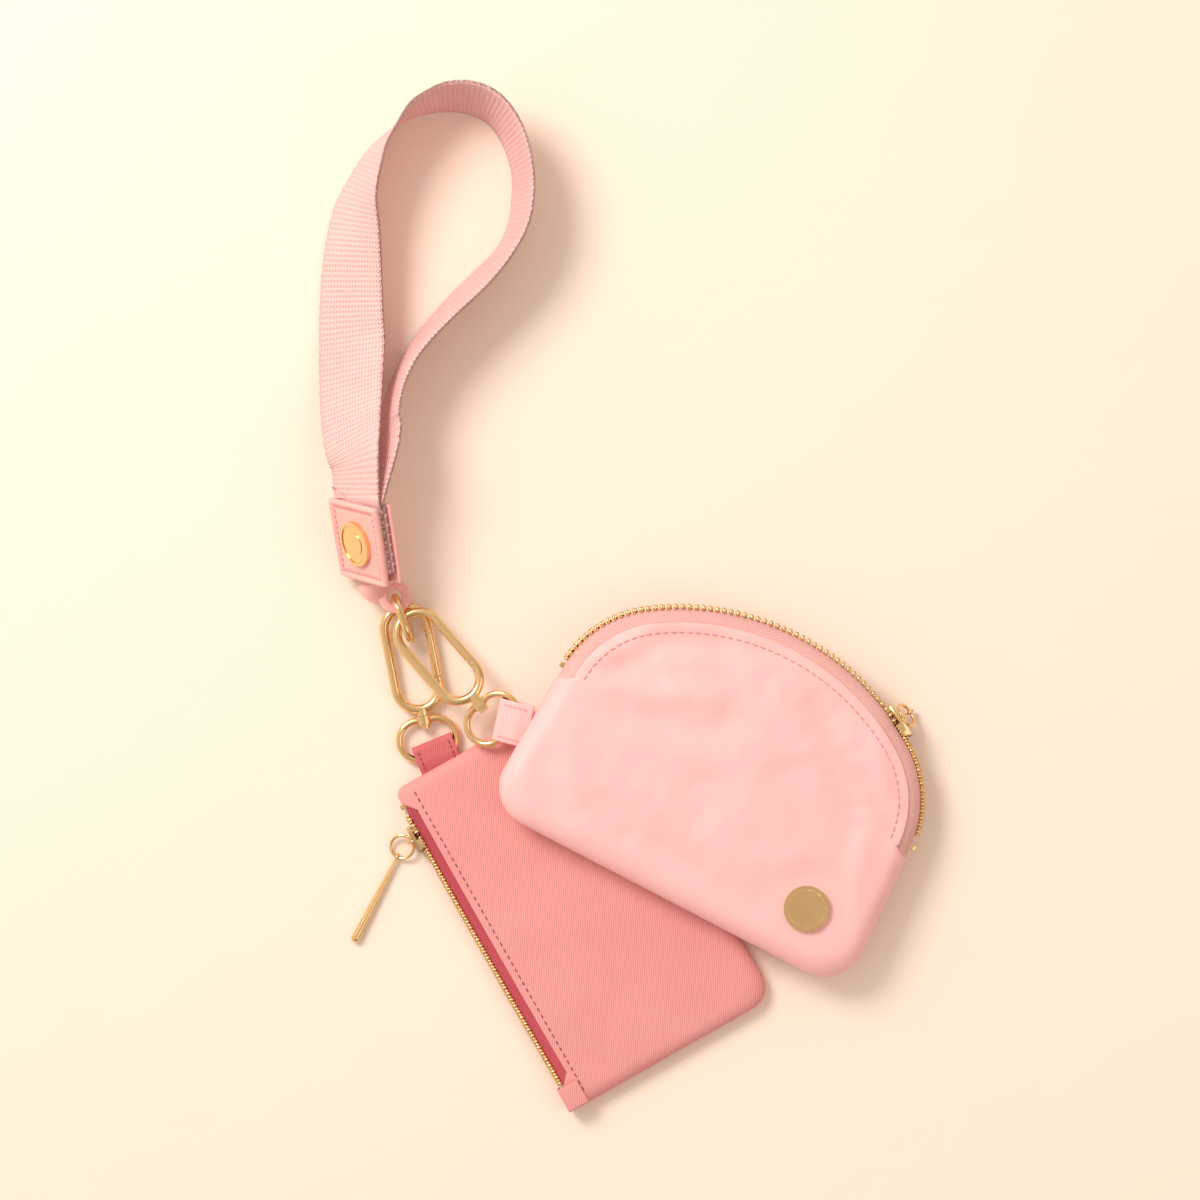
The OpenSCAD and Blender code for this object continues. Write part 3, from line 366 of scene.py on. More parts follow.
# Rows of stitches, teeth and studs, strewn by Geometry Nodes along marked points
def rowTree():
    tree = bpy.data.node_groups.new("strewnRow", "GeometryNodeTree")
    face = tree.interface
    face.new_socket("Geometry", in_out="INPUT", socket_type="NodeSocketGeometry")
    for label, kind, value in (("Size", "NodeSocketVector", (0.002, 0.0005, 0.0003)),
                               ("Squareness", "NodeSocketFloat", 0.3), ("Rounds", "NodeSocketInt", 1),
                               ("Unevenness", "NodeSocketFloat", 0.0), ("Seed", "NodeSocketInt", 7),
                               ("Material", "NodeSocketMaterial", None)):
        socket = face.new_socket(label, in_out="INPUT", socket_type=kind)
        if value is not None:
            socket.default_value = value
    face.new_socket("Geometry", in_out="OUTPUT", socket_type="NodeSocketGeometry")
    add, link = tree.nodes.new, tree.links.new
    start, end = add("NodeGroupInput"), add("NodeGroupOutput")
    block = add("GeometryNodeMeshCube")
    link(start.outputs["Size"], block.inputs["Size"])
    soft = add("GeometryNodeSubdivisionSurface")
    link(block.outputs[0], soft.inputs["Mesh"])
    link(start.outputs["Rounds"], soft.inputs["Level"])
    link(start.outputs["Squareness"], soft.inputs["Edge Crease"])
    turns = []
    for label, axis in (("along", "X"), ("outward", "Z")):
        named = add("GeometryNodeInputNamedAttribute")
        named.data_type = "FLOAT_VECTOR"
        named.inputs["Name"].default_value = label
        align = add("FunctionNodeAlignRotationToVector")
        align.axis = axis
        align.pivot_axis = "AUTO" if axis == "X" else "X"
        link(named.outputs[0], align.inputs["Vector"])
        if turns:
            link(turns[-1].outputs[0], align.inputs["Rotation"])
        turns.append(align)
    wobble = add("FunctionNodeRandomValue")
    wobble.data_type = "FLOAT_VECTOR"
    wobble.inputs[0].default_value = (-1, -1, -1)
    wobble.inputs[1].default_value = (1, 1, 1)
    link(start.outputs["Seed"], wobble.inputs["Seed"])
    scaled = add("ShaderNodeVectorMath")
    scaled.operation = "SCALE"
    link(wobble.outputs[0], scaled.inputs[0])
    link(start.outputs["Unevenness"], scaled.inputs["Scale"])
    euler = add("FunctionNodeEulerToRotation")
    link(scaled.outputs[0], euler.inputs[0])
    both = add("FunctionNodeRotateRotation")
    both.rotation_space = "LOCAL"
    link(turns[-1].outputs[0], both.inputs[0])
    link(euler.outputs[0], both.inputs[1])
    place = add("GeometryNodeInstanceOnPoints")
    link(start.outputs["Geometry"], place.inputs["Points"])
    link(soft.outputs[0], place.inputs["Instance"])
    link(both.outputs[0], place.inputs["Rotation"])
    real = add("GeometryNodeRealizeInstances")
    link(place.outputs[0], real.inputs[0])
    smooth = add("GeometryNodeSetShadeSmooth")
    link(real.outputs[0], smooth.inputs[0])
    finish = add("GeometryNodeSetMaterial")
    link(smooth.outputs[0], finish.inputs["Geometry"])
    link(start.outputs["Material"], finish.inputs["Material"])
    link(finish.outputs[0], end.inputs[0])
    return tree


strewn = rowTree()


def strew(name, points, alongs, outs, size, mat, squareness=0.3, rounds=1, unevenness=0.0, seed=7):
    mesh = bpy.data.meshes.new(name + "Points")
    mesh.from_pydata([tuple(p) for p in np.asarray(points) * mm], [], [])
    for label, values in (("along", alongs), ("outward", outs)):
        layer = mesh.attributes.new(label, "FLOAT_VECTOR", "POINT")
        layer.data.foreach_set("vector", np.asarray(values, float).ravel())
    carrier = bpy.data.objects.new(name + "Points", mesh)
    bpy.context.collection.objects.link(carrier)
    row = carrier.modifiers.new("row", "NODES")
    row.node_group = strewn
    wanted = {"Size": [v * mm for v in size], "Squareness": squareness, "Rounds": rounds,
              "Unevenness": unevenness, "Seed": seed, "Material": mat}
    for item in strewn.interface.items_tree:
        if item.item_type == "SOCKET" and item.in_out == "INPUT" and item.name in wanted:
            row[item.identifier] = wanted[item.name]
    graph = bpy.context.evaluated_depsgraph_get()
    graph.update()
    result = bpy.data.meshes.new_from_object(carrier.evaluated_get(graph), depsgraph=graph)
    result.name = name
    bpy.data.objects.remove(carrier)
    bpy.data.meshes.remove(mesh)
    piece = bpy.data.objects.new(name, result)
    bpy.context.collection.objects.link(piece)
    if not result.materials:
        result.materials.append(mat)
    return piece


# Stage, light and camera
studio = {"middle": (4.97, 93.76), "seenWidth": 381, "height": 1200, "floor": (250, 232, 216),
          "keyPower": 10.5, "fillPower": 2.6, "world": 0.84}


def makeStudio():
    scene = bpy.context.scene
    scene.view_settings.view_transform = "Standard"
    scene.view_settings.look = "None"
    world = bpy.data.worlds.new("softRoom")
    world.use_nodes = True
    air, look = world.node_tree.nodes["Background"], world.node_tree
    spot, split = look.nodes.new("ShaderNodeTexCoord"), look.nodes.new("ShaderNodeSeparateXYZ")
    shade = look.nodes.new("ShaderNodeValToRGB")
    look.links.new(spot.outputs["Generated"], split.inputs[0])
    look.links.new(maths(look, "MULTIPLY_ADD", maths(look, "ADD", split.outputs[0], maths(
        look, "MULTIPLY", split.outputs[1], -0.9)), -0.38, 0.5), shade.inputs[0])
    shade.color_ramp.elements[0].position = 0.12
    shade.color_ramp.elements[0].color = (0.42, 0.33, 0.26, 1)
    shade.color_ramp.elements[1].position = 0.72
    shade.color_ramp.elements[1].color = (1.0, 0.92, 0.85, 1)
    look.links.new(shade.outputs[0], air.inputs[0])
    air.inputs[1].default_value = studio["world"]
    scene.world = world
    x, y = studio["middle"]
    floor = newPiece("tableTop", [(-3000, -3000, -0.05), (3000, -3000, -0.05), (3000, 3000, -0.05),
                                  (-3000, 3000, -0.05)], [(0, 1, 2, 3)], plaster(), smooth=False)
    for name, at, size, power in (("windowLight", (-620, 560, 900), 0.55, studio["keyPower"]),
                                  ("rightFill", (800, -300, 900), 1.0, studio["fillPower"])):
        lamp = bpy.data.lights.new(name, "AREA")
        lamp.shape = "DISK"
        lamp.size = size
        lamp.energy = power
        lamp.color = (1.0, 0.96, 0.9)
        light = bpy.data.objects.new(name, lamp)
        light.location = Vector((x + at[0], y + at[1], at[2])) * mm
        light.rotation_euler = (Vector((x, y, 0)) * mm - light.location).to_track_quat("-Z", "Y").to_euler()
        bpy.context.collection.objects.link(light)
    lens = bpy.data.cameras.new("overhead")
    lens.lens = lens.sensor_width * studio["height"] / studio["seenWidth"]
    lens.clip_start = 0.01
    camera = bpy.data.objects.new("overhead", lens)
    camera.location = Vector((x, y, studio["height"] + 10)) * mm
    bpy.context.collection.objects.link(camera)
    scene.camera = camera


def plaster():
    made, tree, shader = material("paleTable")
    vector = coords(tree)
    swell = tree.nodes.new("ShaderNodeTexNoise")
    swell.inputs["Scale"].default_value = 14
    swell.inputs["Detail"].default_value = 3
    tree.links.new(vector, swell.inputs["Vector"])
    shader.inputs["Base Color"].default_value = linear(studio["floor"])
    shader.inputs["Roughness"].default_value = 0.85
    bump(tree, shader, swell.outputs[0], 0.0012, 0.6)
    return made


makeStudio()
print("studio ready")


# Carried-over metal: each CAD solid is merged, smoothed and given its finish
def burnish(node, name, mat, body, bevel=0.0, smoothUnder=38):
    source = nodes[node]
    work = bmesh.new()
    work.from_mesh(source.data)
    bmesh.ops.transform(work, matrix=source.matrix_world, verts=work.verts)
    bmesh.ops.remove_doubles(work, verts=work.verts, dist=2e-6)
    bmesh.ops.dissolve_degenerate(work, edges=work.edges, dist=1e-7)
    if bevel:
        bmesh.ops.dissolve_limit(work, angle_limit=math.radians(2), verts=work.verts, edges=work.edges)
        sharp = [e for e in work.edges if e.is_manifold and e.calc_face_angle(0) > math.radians(45)]
        bmesh.ops.bevel(work, geom=sharp, offset=bevel * mm, segments=2, profile=0.6, affect="EDGES",
                        clamp_overlap=True)
    for f in work.faces:
        f.smooth = True
    for e in work.edges:
        if e.is_manifold and e.calc_face_angle(0) > math.radians(smoothUnder):
            e.smooth = False
    mesh = bpy.data.meshes.new(name)
    work.to_mesh(mesh)
    work.free()
    mesh.materials.append(mat)
    piece = bpy.data.objects.new(name, mesh)
    bpy.context.collection.objects.link(piece)
    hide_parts(node)
    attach(piece, body)
    return piece


gold = mats["paleGold"]
for side in "ab":
    clip = "clip_" + side
    burnish(clip + "_frame", side + "ClipFrame", gold, clip)
    burnish(clip + "_gate", side + "ClipGate", gold, "gate_" + side)
    burnish(clip + "_swivel_post", side + "ClipPost", gold, clip)
    burnish("ring_" + side, side + "SwivelRing", gold, "ring_" + side)
    burnish("ring_" + side + "_washer", side + "SwivelWasher", gold, "ring_" + side)
    for part in ("_gate_pin", "_spring"):
        nodes[clip + part].material_slots[0].material = mats["pinSteel"]
nodes["strap_badge_plate"].material_slots[0].material = mats["pinSteel"]
burnish("link_ring", "linkRing", gold, "link")
burnish("strap_badge", "strapBadge", gold, "strap")
burnish("dome_badge", "domeBadge", gold, "dome_pouch")
burnish("dome_zip_stops", "domeZipStops", gold, "dome_pouch", bevel=0.25)
burnish("rose_top_stops", "roseTopStops", gold, "rose_pouch", bevel=0.2)
for pouch in ("dome", "rose"):
    burnish(pouch + "_slider", pouch + "Slider", gold, pouch + "_slider", bevel=0.18)
    burnish(pouch + "_pull_ring", pouch + "PullRing", gold, pouch + "_pull_ring")
    burnish(pouch + "_pull_bar", pouch + "PullBar", gold, pouch + "_pull_bar")
print("metal burnished")


# Pouches: each half is a dished shell from its seam or zip fold to its middle
walls = {"panel": 0.9, "tape": 0.45, "lining": 0.35, "gap": 0.06}
walls["tapeIn"] = walls["panel"] + walls["gap"]
walls["liningIn"] = walls["tapeIn"] + walls["tape"] + walls["gap"]


def creased(p, creases):
    z = np.zeros(len(p))
    for x0, y0, x1, y1, width, depth in creases:
        a, b = np.array([x0, y0]), np.array([x1, y1])
        along = (b - a) / np.linalg.norm(b - a)
        t = np.clip((p - a) @ along, 0, np.linalg.norm(b - a))
        gone = np.linalg.norm(p - a - t[:, None] * along, axis=1)
        fade = np.sin(np.pi * np.clip(t / np.linalg.norm(b - a), 0.04, 0.96)) ** 0.7
        z += depth * fade * (np.exp(-(gone / width) ** 2) - 0.45 * np.exp(-((gone - 1.7 * width) / width) ** 2))
    return z


def rumple(p, seed, scale, height):
    return height * np.array([noise.noise(Vector((q[0] / scale, q[1] / scale, seed))) for q in p])


class Pouch:
    def __init__(self, outline, lips, starts, half, edge, high, place, looks):
        self.outline, self.lips, self.starts = map(np.asarray, (outline, lips, starts))
        self.half, self.edge, self.high, self.place, self.looks = np.array(half), edge, high, place, looks

    def inset(self, p, d):
        return p * (1 - np.asarray(d)[..., None] / self.half)

    def relief(self, p, side):
        looks = self.looks[side]
        inside = smoothstep(0, 1, (1 - np.max(np.abs(p) / self.half, axis=1)) * 4)
        for x, y, near, far in looks.get("flat", ()):
            inside = inside * smoothstep(near, far, np.hypot(p[:, 0] - x, p[:, 1] - y))
        z = looks["puff"] * (1 - np.sum((p / self.half) ** 2, axis=1).clip(0, 1)) * inside
        z += creased(p, looks["creases"]) * inside
        return z + rumple(p, looks["seed"], 17, looks["rumple"]) * inside + rumple(
            p, looks["seed"] + 9, 6, looks["rumple"] * 0.35) * inside

    def ring(self, depth, share):
        f = np.radians(self.starts + (90 - self.starts) * share)
        into = self.edge - (self.edge - depth) * np.cos(f)
        z = self.lips * (1 - np.sin(f)) + (self.high - depth) * np.sin(f)
        return np.column_stack([self.inset(self.outline, into), z])

    def shell(self, name, side, depth, thick, mat, slot, steps=9, rings=26):
        rows = [self.ring(depth, i / steps) for i in range(steps + 1)]
        rim = rows[-1]
        for i in range(1, rings):
            inner = rim.copy()
            inner[:, :2] *= 1 - 0.985 * i / (rings - 1)
            rows.append(inner)
        points = np.concatenate(rows)
        points[:, 2] += self.relief(points[:, :2], side) * smoothstep(0.5, 0.98, points[:, 2] / (self.high - depth))
        if side == "back":
            points[:, 2] *= -1
        count = len(rim)
        faces = gridFaces(len(rows), count, closedColumns=True, flip=side == "back")
        start = len(points) - count
        points = np.vstack([points, points[start:].mean(axis=0)])
        for k in range(count):
            a, b = start + k, start + (k + 1) % count
            faces.append((b, a, len(points) - 1) if side == "back" else (a, b, len(points) - 1))
        piece = newPiece(name, self.place.points(points), faces, mat)
        if (piece.data.polygons[-1].normal @ Vector(self.place.vectors([[0, 0, 1]])[0]) < 0) == (side == "front"):
            piece.data.flip_normals()
        return solidify(piece, thick)

    def tape(self, name, side, span, endAngle, mat, slot, steps=12):
        run = np.arange(span[0], span[1]) % len(self.outline)
        path, lips = self.outline[run], self.lips[run]
        length = np.concatenate([[0], np.cumsum(np.linalg.norm(np.diff(path, axis=0), axis=1))])
        points, uv = [], []
        for i in range(steps + 1):
            f = math.radians(endAngle * i / steps)
            into = self.edge - (self.edge - walls["tapeIn"]) * math.cos(f)
            z = lips * (1 - math.sin(f)) + (self.high - walls["tapeIn"]) * math.sin(f)
            points.append(np.column_stack([self.inset(path, np.full(len(path), into)), z]))
            uv.append(np.column_stack([np.full(len(path), i / steps * 8 * mm), length * mm]))
        points, uv = np.concatenate(points), np.concatenate(uv)
        if side == "back":
            points[:, 2] *= -1
        piece = newPiece(name, self.place.points(points),
                         gridFaces(steps + 1, len(path), flip=side == "back"), mat, uv=uv)
        return solidify(piece, walls["tape"])


def arcPoints(centre, radius, a0, a1, count):
    a = np.radians(np.linspace(a0, a1, count))
    return np.column_stack([centre[0] + radius * np.cos(a), centre[1] + radius * np.sin(a)])


def ridgeline(pouch, at, side, depth):
    z = pouch.high + pouch.relief(at, side) + depth
    p = np.column_stack([at, z if side == "front" else -z])
    return pouch.place.points(p), pouch.place.vectors(np.tile([[0, 0, 1 if side == "front" else -1]], (len(at), 1)))


dome = {"width": 125, "archHigh": 46.2, "drop": 47, "shoulder": 36, "shoulderY": 2, "corner": 13, "thick": 13,
        "edge": 7, "mouth": 4, "fold": 73, "sliderAngle": 28.7, "archSteps": 190, "toothPitch": 2.2,
        "looks": {
            "front": {"puff": 1.6, "rumple": 0.9, "seed": 3.1, "flat": [(41, -29, 8, 17)], "creases": [
                (-52, 20, -14, 34, 4, -1.1), (-50, 2, -6, 20, 5, 1.0), (-20, 26, 40, 12, 7, 0.8),
                (10, 34, 48, -2, 5, -1.0), (44, 10, 56, -26, 4, 1.0), (-58, -12, -30, -40, 5, 0.9),
                (-30, -30, 30, -38, 6, -0.7), (30, 20, 56, 6, 2.5, -0.8), (20, -8, 52, -40, 6, 0.8),
                (-10, 8, 26, -12, 10, 0.6), (-56, 8, -40, 28, 3, 0.9), (34, 30, 50, 12, 2.5, 0.7)]},
            "back": {"puff": -0.6, "rumple": 0.25, "seed": 8.7, "creases": [
                (-50, 10, -10, 26, 6, -0.4), (10, 30, 46, -4, 7, -0.4), (-40, -30, 20, -34, 8, -0.3)]}}}
domeHalf = (dome["width"] / 2 + 1.5, (dome["archHigh"] + dome["drop"]) / 2)
shoulderX = dome["width"] / 2 - dome["shoulder"]
rise = dome["archHigh"] - dome["shoulderY"]
archR = (shoulderX ** 2 + rise ** 2 - dome["shoulder"] ** 2) / (2 * (rise - dome["shoulder"]))
archY = dome["archHigh"] - archR
archSpan = math.degrees(math.atan2(shoulderX, dome["shoulderY"] - archY))
shoulderLen = math.radians(90 - archSpan) * dome["shoulder"]
topLen = math.radians(2 * archSpan) * archR
archLen = 2 * shoulderLen + topLen
sliderS = shoulderLen + math.radians(archSpan + dome["sliderAngle"]) * archR


def archAt(s):
    if s < shoulderLen:
        a, c, r = 180 - math.degrees(s / dome["shoulder"]), (-shoulderX, dome["shoulderY"]), dome["shoulder"]
    elif s < shoulderLen + topLen:
        a, c, r = 90 + archSpan - math.degrees((s - shoulderLen) / archR), (0, archY), archR
    else:
        a = 90 - archSpan - math.degrees((s - shoulderLen - topLen) / dome["shoulder"])
        c, r = (shoulderX, dome["shoulderY"]), dome["shoulder"]
    t = math.radians(a)
    return np.array([c[0] + r * math.cos(t), c[1] + r * math.sin(t)]), np.array([math.cos(t), math.sin(t)])


def domeLip(s):
    if s >= sliderS or s <= 0:
        return walls["gap"]
    return walls["gap"] + dome["mouth"] * max(0, math.sin(math.pi * s / sliderS)) ** 0.35


archS = np.linspace(0, archLen, dome["archSteps"] + 1)
lowRight = arcPoints((domeHalf[0] - dome["corner"], dome["corner"] - dome["drop"]), dome["corner"], 0, -90, 16)
lowLeft = arcPoints((dome["corner"] - domeHalf[0], dome["corner"] - dome["drop"]), dome["corner"], -90, -180, 16)
bottom = np.column_stack([np.linspace(lowRight[-1][0], lowLeft[0][0], 44)[1:-1], np.full(42, -dome["drop"])])


def between(a, b, count):
    return np.linspace(a, b, count + 2)[1:-1]


archPath = np.array([archAt(s)[0] for s in archS])
domeSides = [between(archPath[-1], lowRight[0], 12), lowRight, bottom, lowLeft, between(lowLeft[-1], archPath[0], 12)]
domeOutline = np.vstack([archPath] + domeSides)
lowCount = len(domeOutline) - len(archS)
domePouch = Pouch(domeOutline, [domeLip(s) for s in archS] + [walls["gap"]] * lowCount,
                  [dome["fold"]] * len(archS) + [0] * lowCount, domeHalf, dome["edge"], dome["thick"] / 2, inDome,
                  dome["looks"])


def makePouch(pouch, word, fabricName, tapeName, tapeSpan, fold):
    for side in ("front", "back"):
        title = side.capitalize()
        panel = pouch.shell(word + title + "Panel", side, 0, walls["panel"], mats[fabricName],
                            "blush_fabric" if word == "dome" else "rose_fabric")
        lining = pouch.shell(word + title + "Lining", side, walls["liningIn"], walls["lining"], mats["lining"],
                             "lining", rings=20)
        tape = pouch.tape(word + title + "Tape", side, tapeSpan, fold + 6, mats[tapeName],
                          "blush_tape" if word == "dome" else "crimson_tape")
        for piece, part in ((panel, "panel"), (lining, "lining"), (tape, "tape")):
            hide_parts(f"{word}_{side}_{part}")
            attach(piece, word + "_pouch")


makePouch(domePouch, "dome", "blushSatin", "blushTape", (-2, len(archS) + 2), dome["fold"])


def toothRow(name, spots, lipAt, sideSign, place, body, node, shift):
    points, alongs, outs = [], [], []
    for p, out, lip in ((spots(s)[0], spots(s)[1], lipAt(s)) for s in shift):
        points.append([p[0] + out[0] * 0.08, p[1] + out[1] * 0.08, sideSign * (lip + 0.2)])
        alongs.append([out[0], out[1], 0])
        outs.append([0, 0, sideSign])
    piece = strew(name, place.points(points), place.vectors(alongs), place.vectors(outs), (2.3, 1.15, 2.5), gold,
                  squareness=0.55)
    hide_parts(node)
    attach(piece, body)


pitch = dome["toothPitch"]
toothCount = int((archLen - 8) / pitch)
for side, sign, shift in (("front", 1, 0), ("back", -1, 0.5)):
    toothRow(f"dome{side.capitalize()}Teeth", archAt, domeLip, sign, inDome, "dome_pouch", f"dome_{side}_teeth",
             [4 + (i + shift) * pitch for i in range(toothCount)])


def stitchLine(name, pouch, path, body, node, size, mat, lift=0.05, seed=5):
    path = np.asarray(path)
    steps = np.roll(path, -1, axis=0)[:-1] - path[:-1]
    alongs = np.vstack([steps, steps[-1:]])
    points, outs = ridgeline(pouch, path, "front", lift)
    piece = strew(name, points, pouch.place.vectors(np.column_stack([alongs, np.zeros(len(path))])), outs, size,
                  mat, squareness=0.15, unevenness=0.07, seed=seed)
    if node:
        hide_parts(node)
    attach(piece, body)
    return piece


seam = {"inset": 8.2, "pitch": 3.0, "size": (2.3, 0.55, 0.5)}
seamPath = np.array([archAt(s)[0] for s in np.arange(2, archLen - 1, seam["pitch"])])
stitchLine("domeTopstitching", domePouch, domePouch.inset(seamPath, np.full(len(seamPath), seam["inset"])),
           "dome_pouch", "dome_topstitching", seam["size"], mats["paleThread"])
print("dome pouch made")


rose = {"width": 73, "length": 117, "thick": 6.6, "edge": 4.6, "corner": 3, "farCorner": 8, "fold": 78, "lip": 1.6,
        "bow": 0.4, "toothPitch": 2.2, "looks": {
            "front": {"puff": 0.35, "rumple": 0.28, "seed": 1.4, "creases": [
                (-30, 54, -6, 30, 5, -0.3), (-32, -20, -14, -50, 4, 0.3), (6, -50, 30, -20, 7, 0.3)]},
            "back": {"puff": 0, "rumple": 0, "seed": 4.2, "creases": [(-20, 40, 10, 20, 6, -0.3)]}}}
roseHalf = (rose["width"] / 2, rose["length"] / 2)
zipLow, zipHigh, roseSliderY = 9 - roseHalf[1], roseHalf[1] - 6, roseHalf[1] - 16.8


def roseSide(y):
    return np.array([-roseHalf[0] - rose["bow"] * (1 - (y / roseHalf[1]) ** 2), y]), np.array([-1.0, 0.0])


def roseLip(y):
    top = zipHigh + 0.5
    if y <= roseSliderY or y >= top:
        return walls["gap"]
    return walls["gap"] + rose["lip"] * math.sin(math.pi * (y - roseSliderY) / (top - roseSliderY)) ** 0.35


zipY = np.linspace(zipLow, zipHigh + 0.5, 110)
corners = []
for sx, sy, a, radius in ((-1, 1, 180, 3), (1, 1, 90, 3), (1, -1, 0, rose["farCorner"]), (-1, -1, -90, 3)):
    corners.append(arcPoints((sx * (roseHalf[0] - radius), sy * (roseHalf[1] - radius)), radius, a, a - 90, 12))
zipPath = np.array([roseSide(y)[0] for y in zipY])
rosePoints = [zipPath, between(zipPath[-1], corners[0][0], 3), corners[0], between(corners[0][-1], corners[1][0], 34),
              corners[1], between(corners[1][-1], corners[2][0], 50), corners[2],
              between(corners[2][-1], corners[3][0], 34), corners[3], between(corners[3][-1], zipPath[0], 5)]
roseOutline = np.vstack(rosePoints)
restCount = len(roseOutline) - len(zipY)
rosePouch = Pouch(roseOutline, [roseLip(y) for y in zipY] + [walls["gap"]] * restCount,
                  [rose["fold"]] * len(zipY) + [0] * restCount, roseHalf, rose["edge"], rose["thick"] / 2, inRose,
                  rose["looks"])
makePouch(rosePouch, "rose", "roseTwill", "crimsonTape", (-2, len(zipY) + 2), rose["fold"])
toothCount = int((zipHigh - zipLow - 2) / rose["toothPitch"])
for side, sign, shift in (("front", 1, 0), ("back", -1, 0.5)):
    toothRow(f"rose{side.capitalize()}Teeth", roseSide, roseLip, sign, inRose, "rose_pouch", f"rose_{side}_teeth",
             [zipLow + 0.8 + (i + shift) * rose["toothPitch"] for i in range(toothCount)])
roseSeam = np.array([[5.6 - roseHalf[0], y] for y in np.arange(zipLow - 4, roseHalf[1] - 2, 2.4)])
stitchLine("roseTopstitching", rosePouch, roseSeam, "rose_pouch", "rose_topstitching", (1.8, 0.45, 0.4),
           mats["roseThread"], seed=11)
print("rose pouch made")


# Ring tabs: a band of fabric folded round its ring's wire and sewn into the pouch's seam
tabs = {"wire": 2.2, "slack": 0.2, "layer": 0.6, "width": 13.6, "intoSeam": 1.6, "bow": 0.25}


def ringTab(name, length, place, mat, stitchMat, node, count):
    inner = (tabs["wire"] + tabs["slack"]) / 2
    outer = inner + tabs["layer"]
    root, centre = -tabs["intoSeam"], length - outer

    def side(r, sign, count):
        x = np.linspace(root, centre, count)
        near = smoothstep(root, 3.4, x)
        return np.column_stack([x, sign * (r * near + (r - inner + 0.02) * (1 - near))])

    def path(r):
        a = np.radians(np.linspace(88, -88, 21))
        return np.vstack([side(r, 1, 16), np.column_stack([centre + r * np.cos(a), r * np.sin(a)]),
                          side(r, -1, 16)[::-1]])

    loop = np.vstack([path(outer), path(inner)[::-1]])
    rows = []
    for y in np.linspace(-1, 1, 33):
        edge = 1 - 0.16 * smoothstep(0.93, 1.0, abs(y))
        waist = 1 - 0.05 * math.sin(math.pi * 0.5 * (1 - abs(y)))
        p = loop.copy()
        p[:, 1] = p[:, 1] * (1 + 0.05 * math.cos(2.2 * y)) * edge ** 0.4
        w = tabs["width"] / 2 * (waist + (1 - waist) * smoothstep(0, length, p[:, 0]))
        rows.append(np.column_stack([p[:, 0], y * w, p[:, 1]]))
    points = np.concatenate(rows)
    n = len(loop)
    faces = gridFaces(len(rows), n, closedColumns=True)
    half = n // 2
    for start in (0, (len(rows) - 1) * n):
        for k in range(half - 1):
            faces.append((start + k, start + k + 1, start + n - 2 - k, start + n - 1 - k))
    piece = outwards(newPiece(name, place.points(points), faces, mat))
    at = [[x, s * (tabs["width"] / 2 - 1.6), outer * 1.04 + 0.05] for s in (-1, 1)
          for x in np.linspace(1.0, length - 2.6, count)]
    sewn = strew(name + "Stitches", place.points(at), place.vectors([[1, 0, 0]] * len(at)),
                 place.vectors([[0, 0, 1]] * len(at)), (1.5, 0.4, 0.4), stitchMat, squareness=0.1, seed=3)
    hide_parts(node)
    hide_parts(node + "_stitching")
    fold, root3 = place.points([[length - 2.4, 0, 0], [0.6, 0, 0]]) * mm
    for part in (piece, sewn):
        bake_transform(part)


ringTab("domeTab", 9.78, inTabA, mats["blushSatin"], mats["paleThread"],
        "dome_tab", 5)
ringTab("roseTab", 8.6, inTabB, mats["roseTabCloth"], mats["roseThread"],
        "rose_tab", 4)
print("tabs folded")


# Wrist strap: woven tape on its route, as lower edge, then how far the upper edge leans
strap = {"width": 25, "thick": 1.6, "rib": 1.6, "ribRise": 0.16, "layer": 0.06, "plate": 0.3, "samples": 2300,
         "leatherLong": 26, "leatherThick": 1.4, "border": 1.6, "borderRise": 0.5}
loopRoute = [
    (-80.5, 140, 11.5, 16, -2.5), (-83, 151, 8, 18.5, -1.5), (-84.5, 163.5, 4.2, 20.5, -0.5),
    (-85, 176, 1.9, 21.5, 0), (-85, 184, 1, 21, 2), (-84, 197, 0.8, 19.5, 4),
    (-82, 207.5, 0.7, 17, 6.5), (-79, 218.5, 0.6, 14, 5.5), (-74, 230, 0.5, 10.5, 2),
    (-69.5, 237.5, 0.4, 8, 0.5), (-62.5, 244, 0.3, 4, 0), (-55.5, 248.5, 0.3, 1, 2),
    (-49, 250.5, 0.3, -1, 3.5), (-42, 251, 0.3, -1.5, 6), (-35.5, 249.5, 0.4, 1, 7.5),
    (-30, 246, 0.4, 3.5, 7), (-26, 239.5, 0.4, 5.5, 5.5), (-23.5, 231, 0.4, 6.5, 3.5),
    (-23.5, 222, 0.4, 7.5, 1), (-25, 213.5, 0.4, 7, -1.5), (-29, 206, 0.4, 5.5, -4),
    (-36, 199, 0.4, 5.5, -5.5), (-45, 190, 0.4, 5, -5.5), (-53.5, 180, 0.4, 6, -3),
    (-59, 171, 0.4, 6, -1), (-63.5, 161, 0.5, 6.5, 0), (-67, 151, 2.5, 8, -1),
    (-70.5, 143, 6.5, 11.5, -2)]


def strapRoute():
    middle = strap["thick"] / 2 + strap["layer"]
    up = inLeather.vectors([[0, -1, 0]])[0]
    long = strap["leatherLong"] / 2
    shift = np.array([layout["holeAt"][0] + 60.7, layout["holeAt"][1] - 95.4, 0])
    stations = [(inLeather.points([[x, 0, middle]])[0], up) for x in (4 - long, 0, long - 1, long + 2)]
    for x, y, z, dx, dy in loopRoute:
        rise = np.array([dx, dy, math.sqrt(strap["width"] ** 2 - dx * dx - dy * dy)])
        stations.append((np.array([x, y, z + 0.25]) + shift + rise / 2, rise / strap["width"]))
    stations += [(inLeather.points([[x, 0, -middle]])[0], up) for x in (long + 2, long - 1, 0, 4 - long)]
    return catmull([s[0] for s in stations], 24), catmull([s[1] for s in stations], 24)


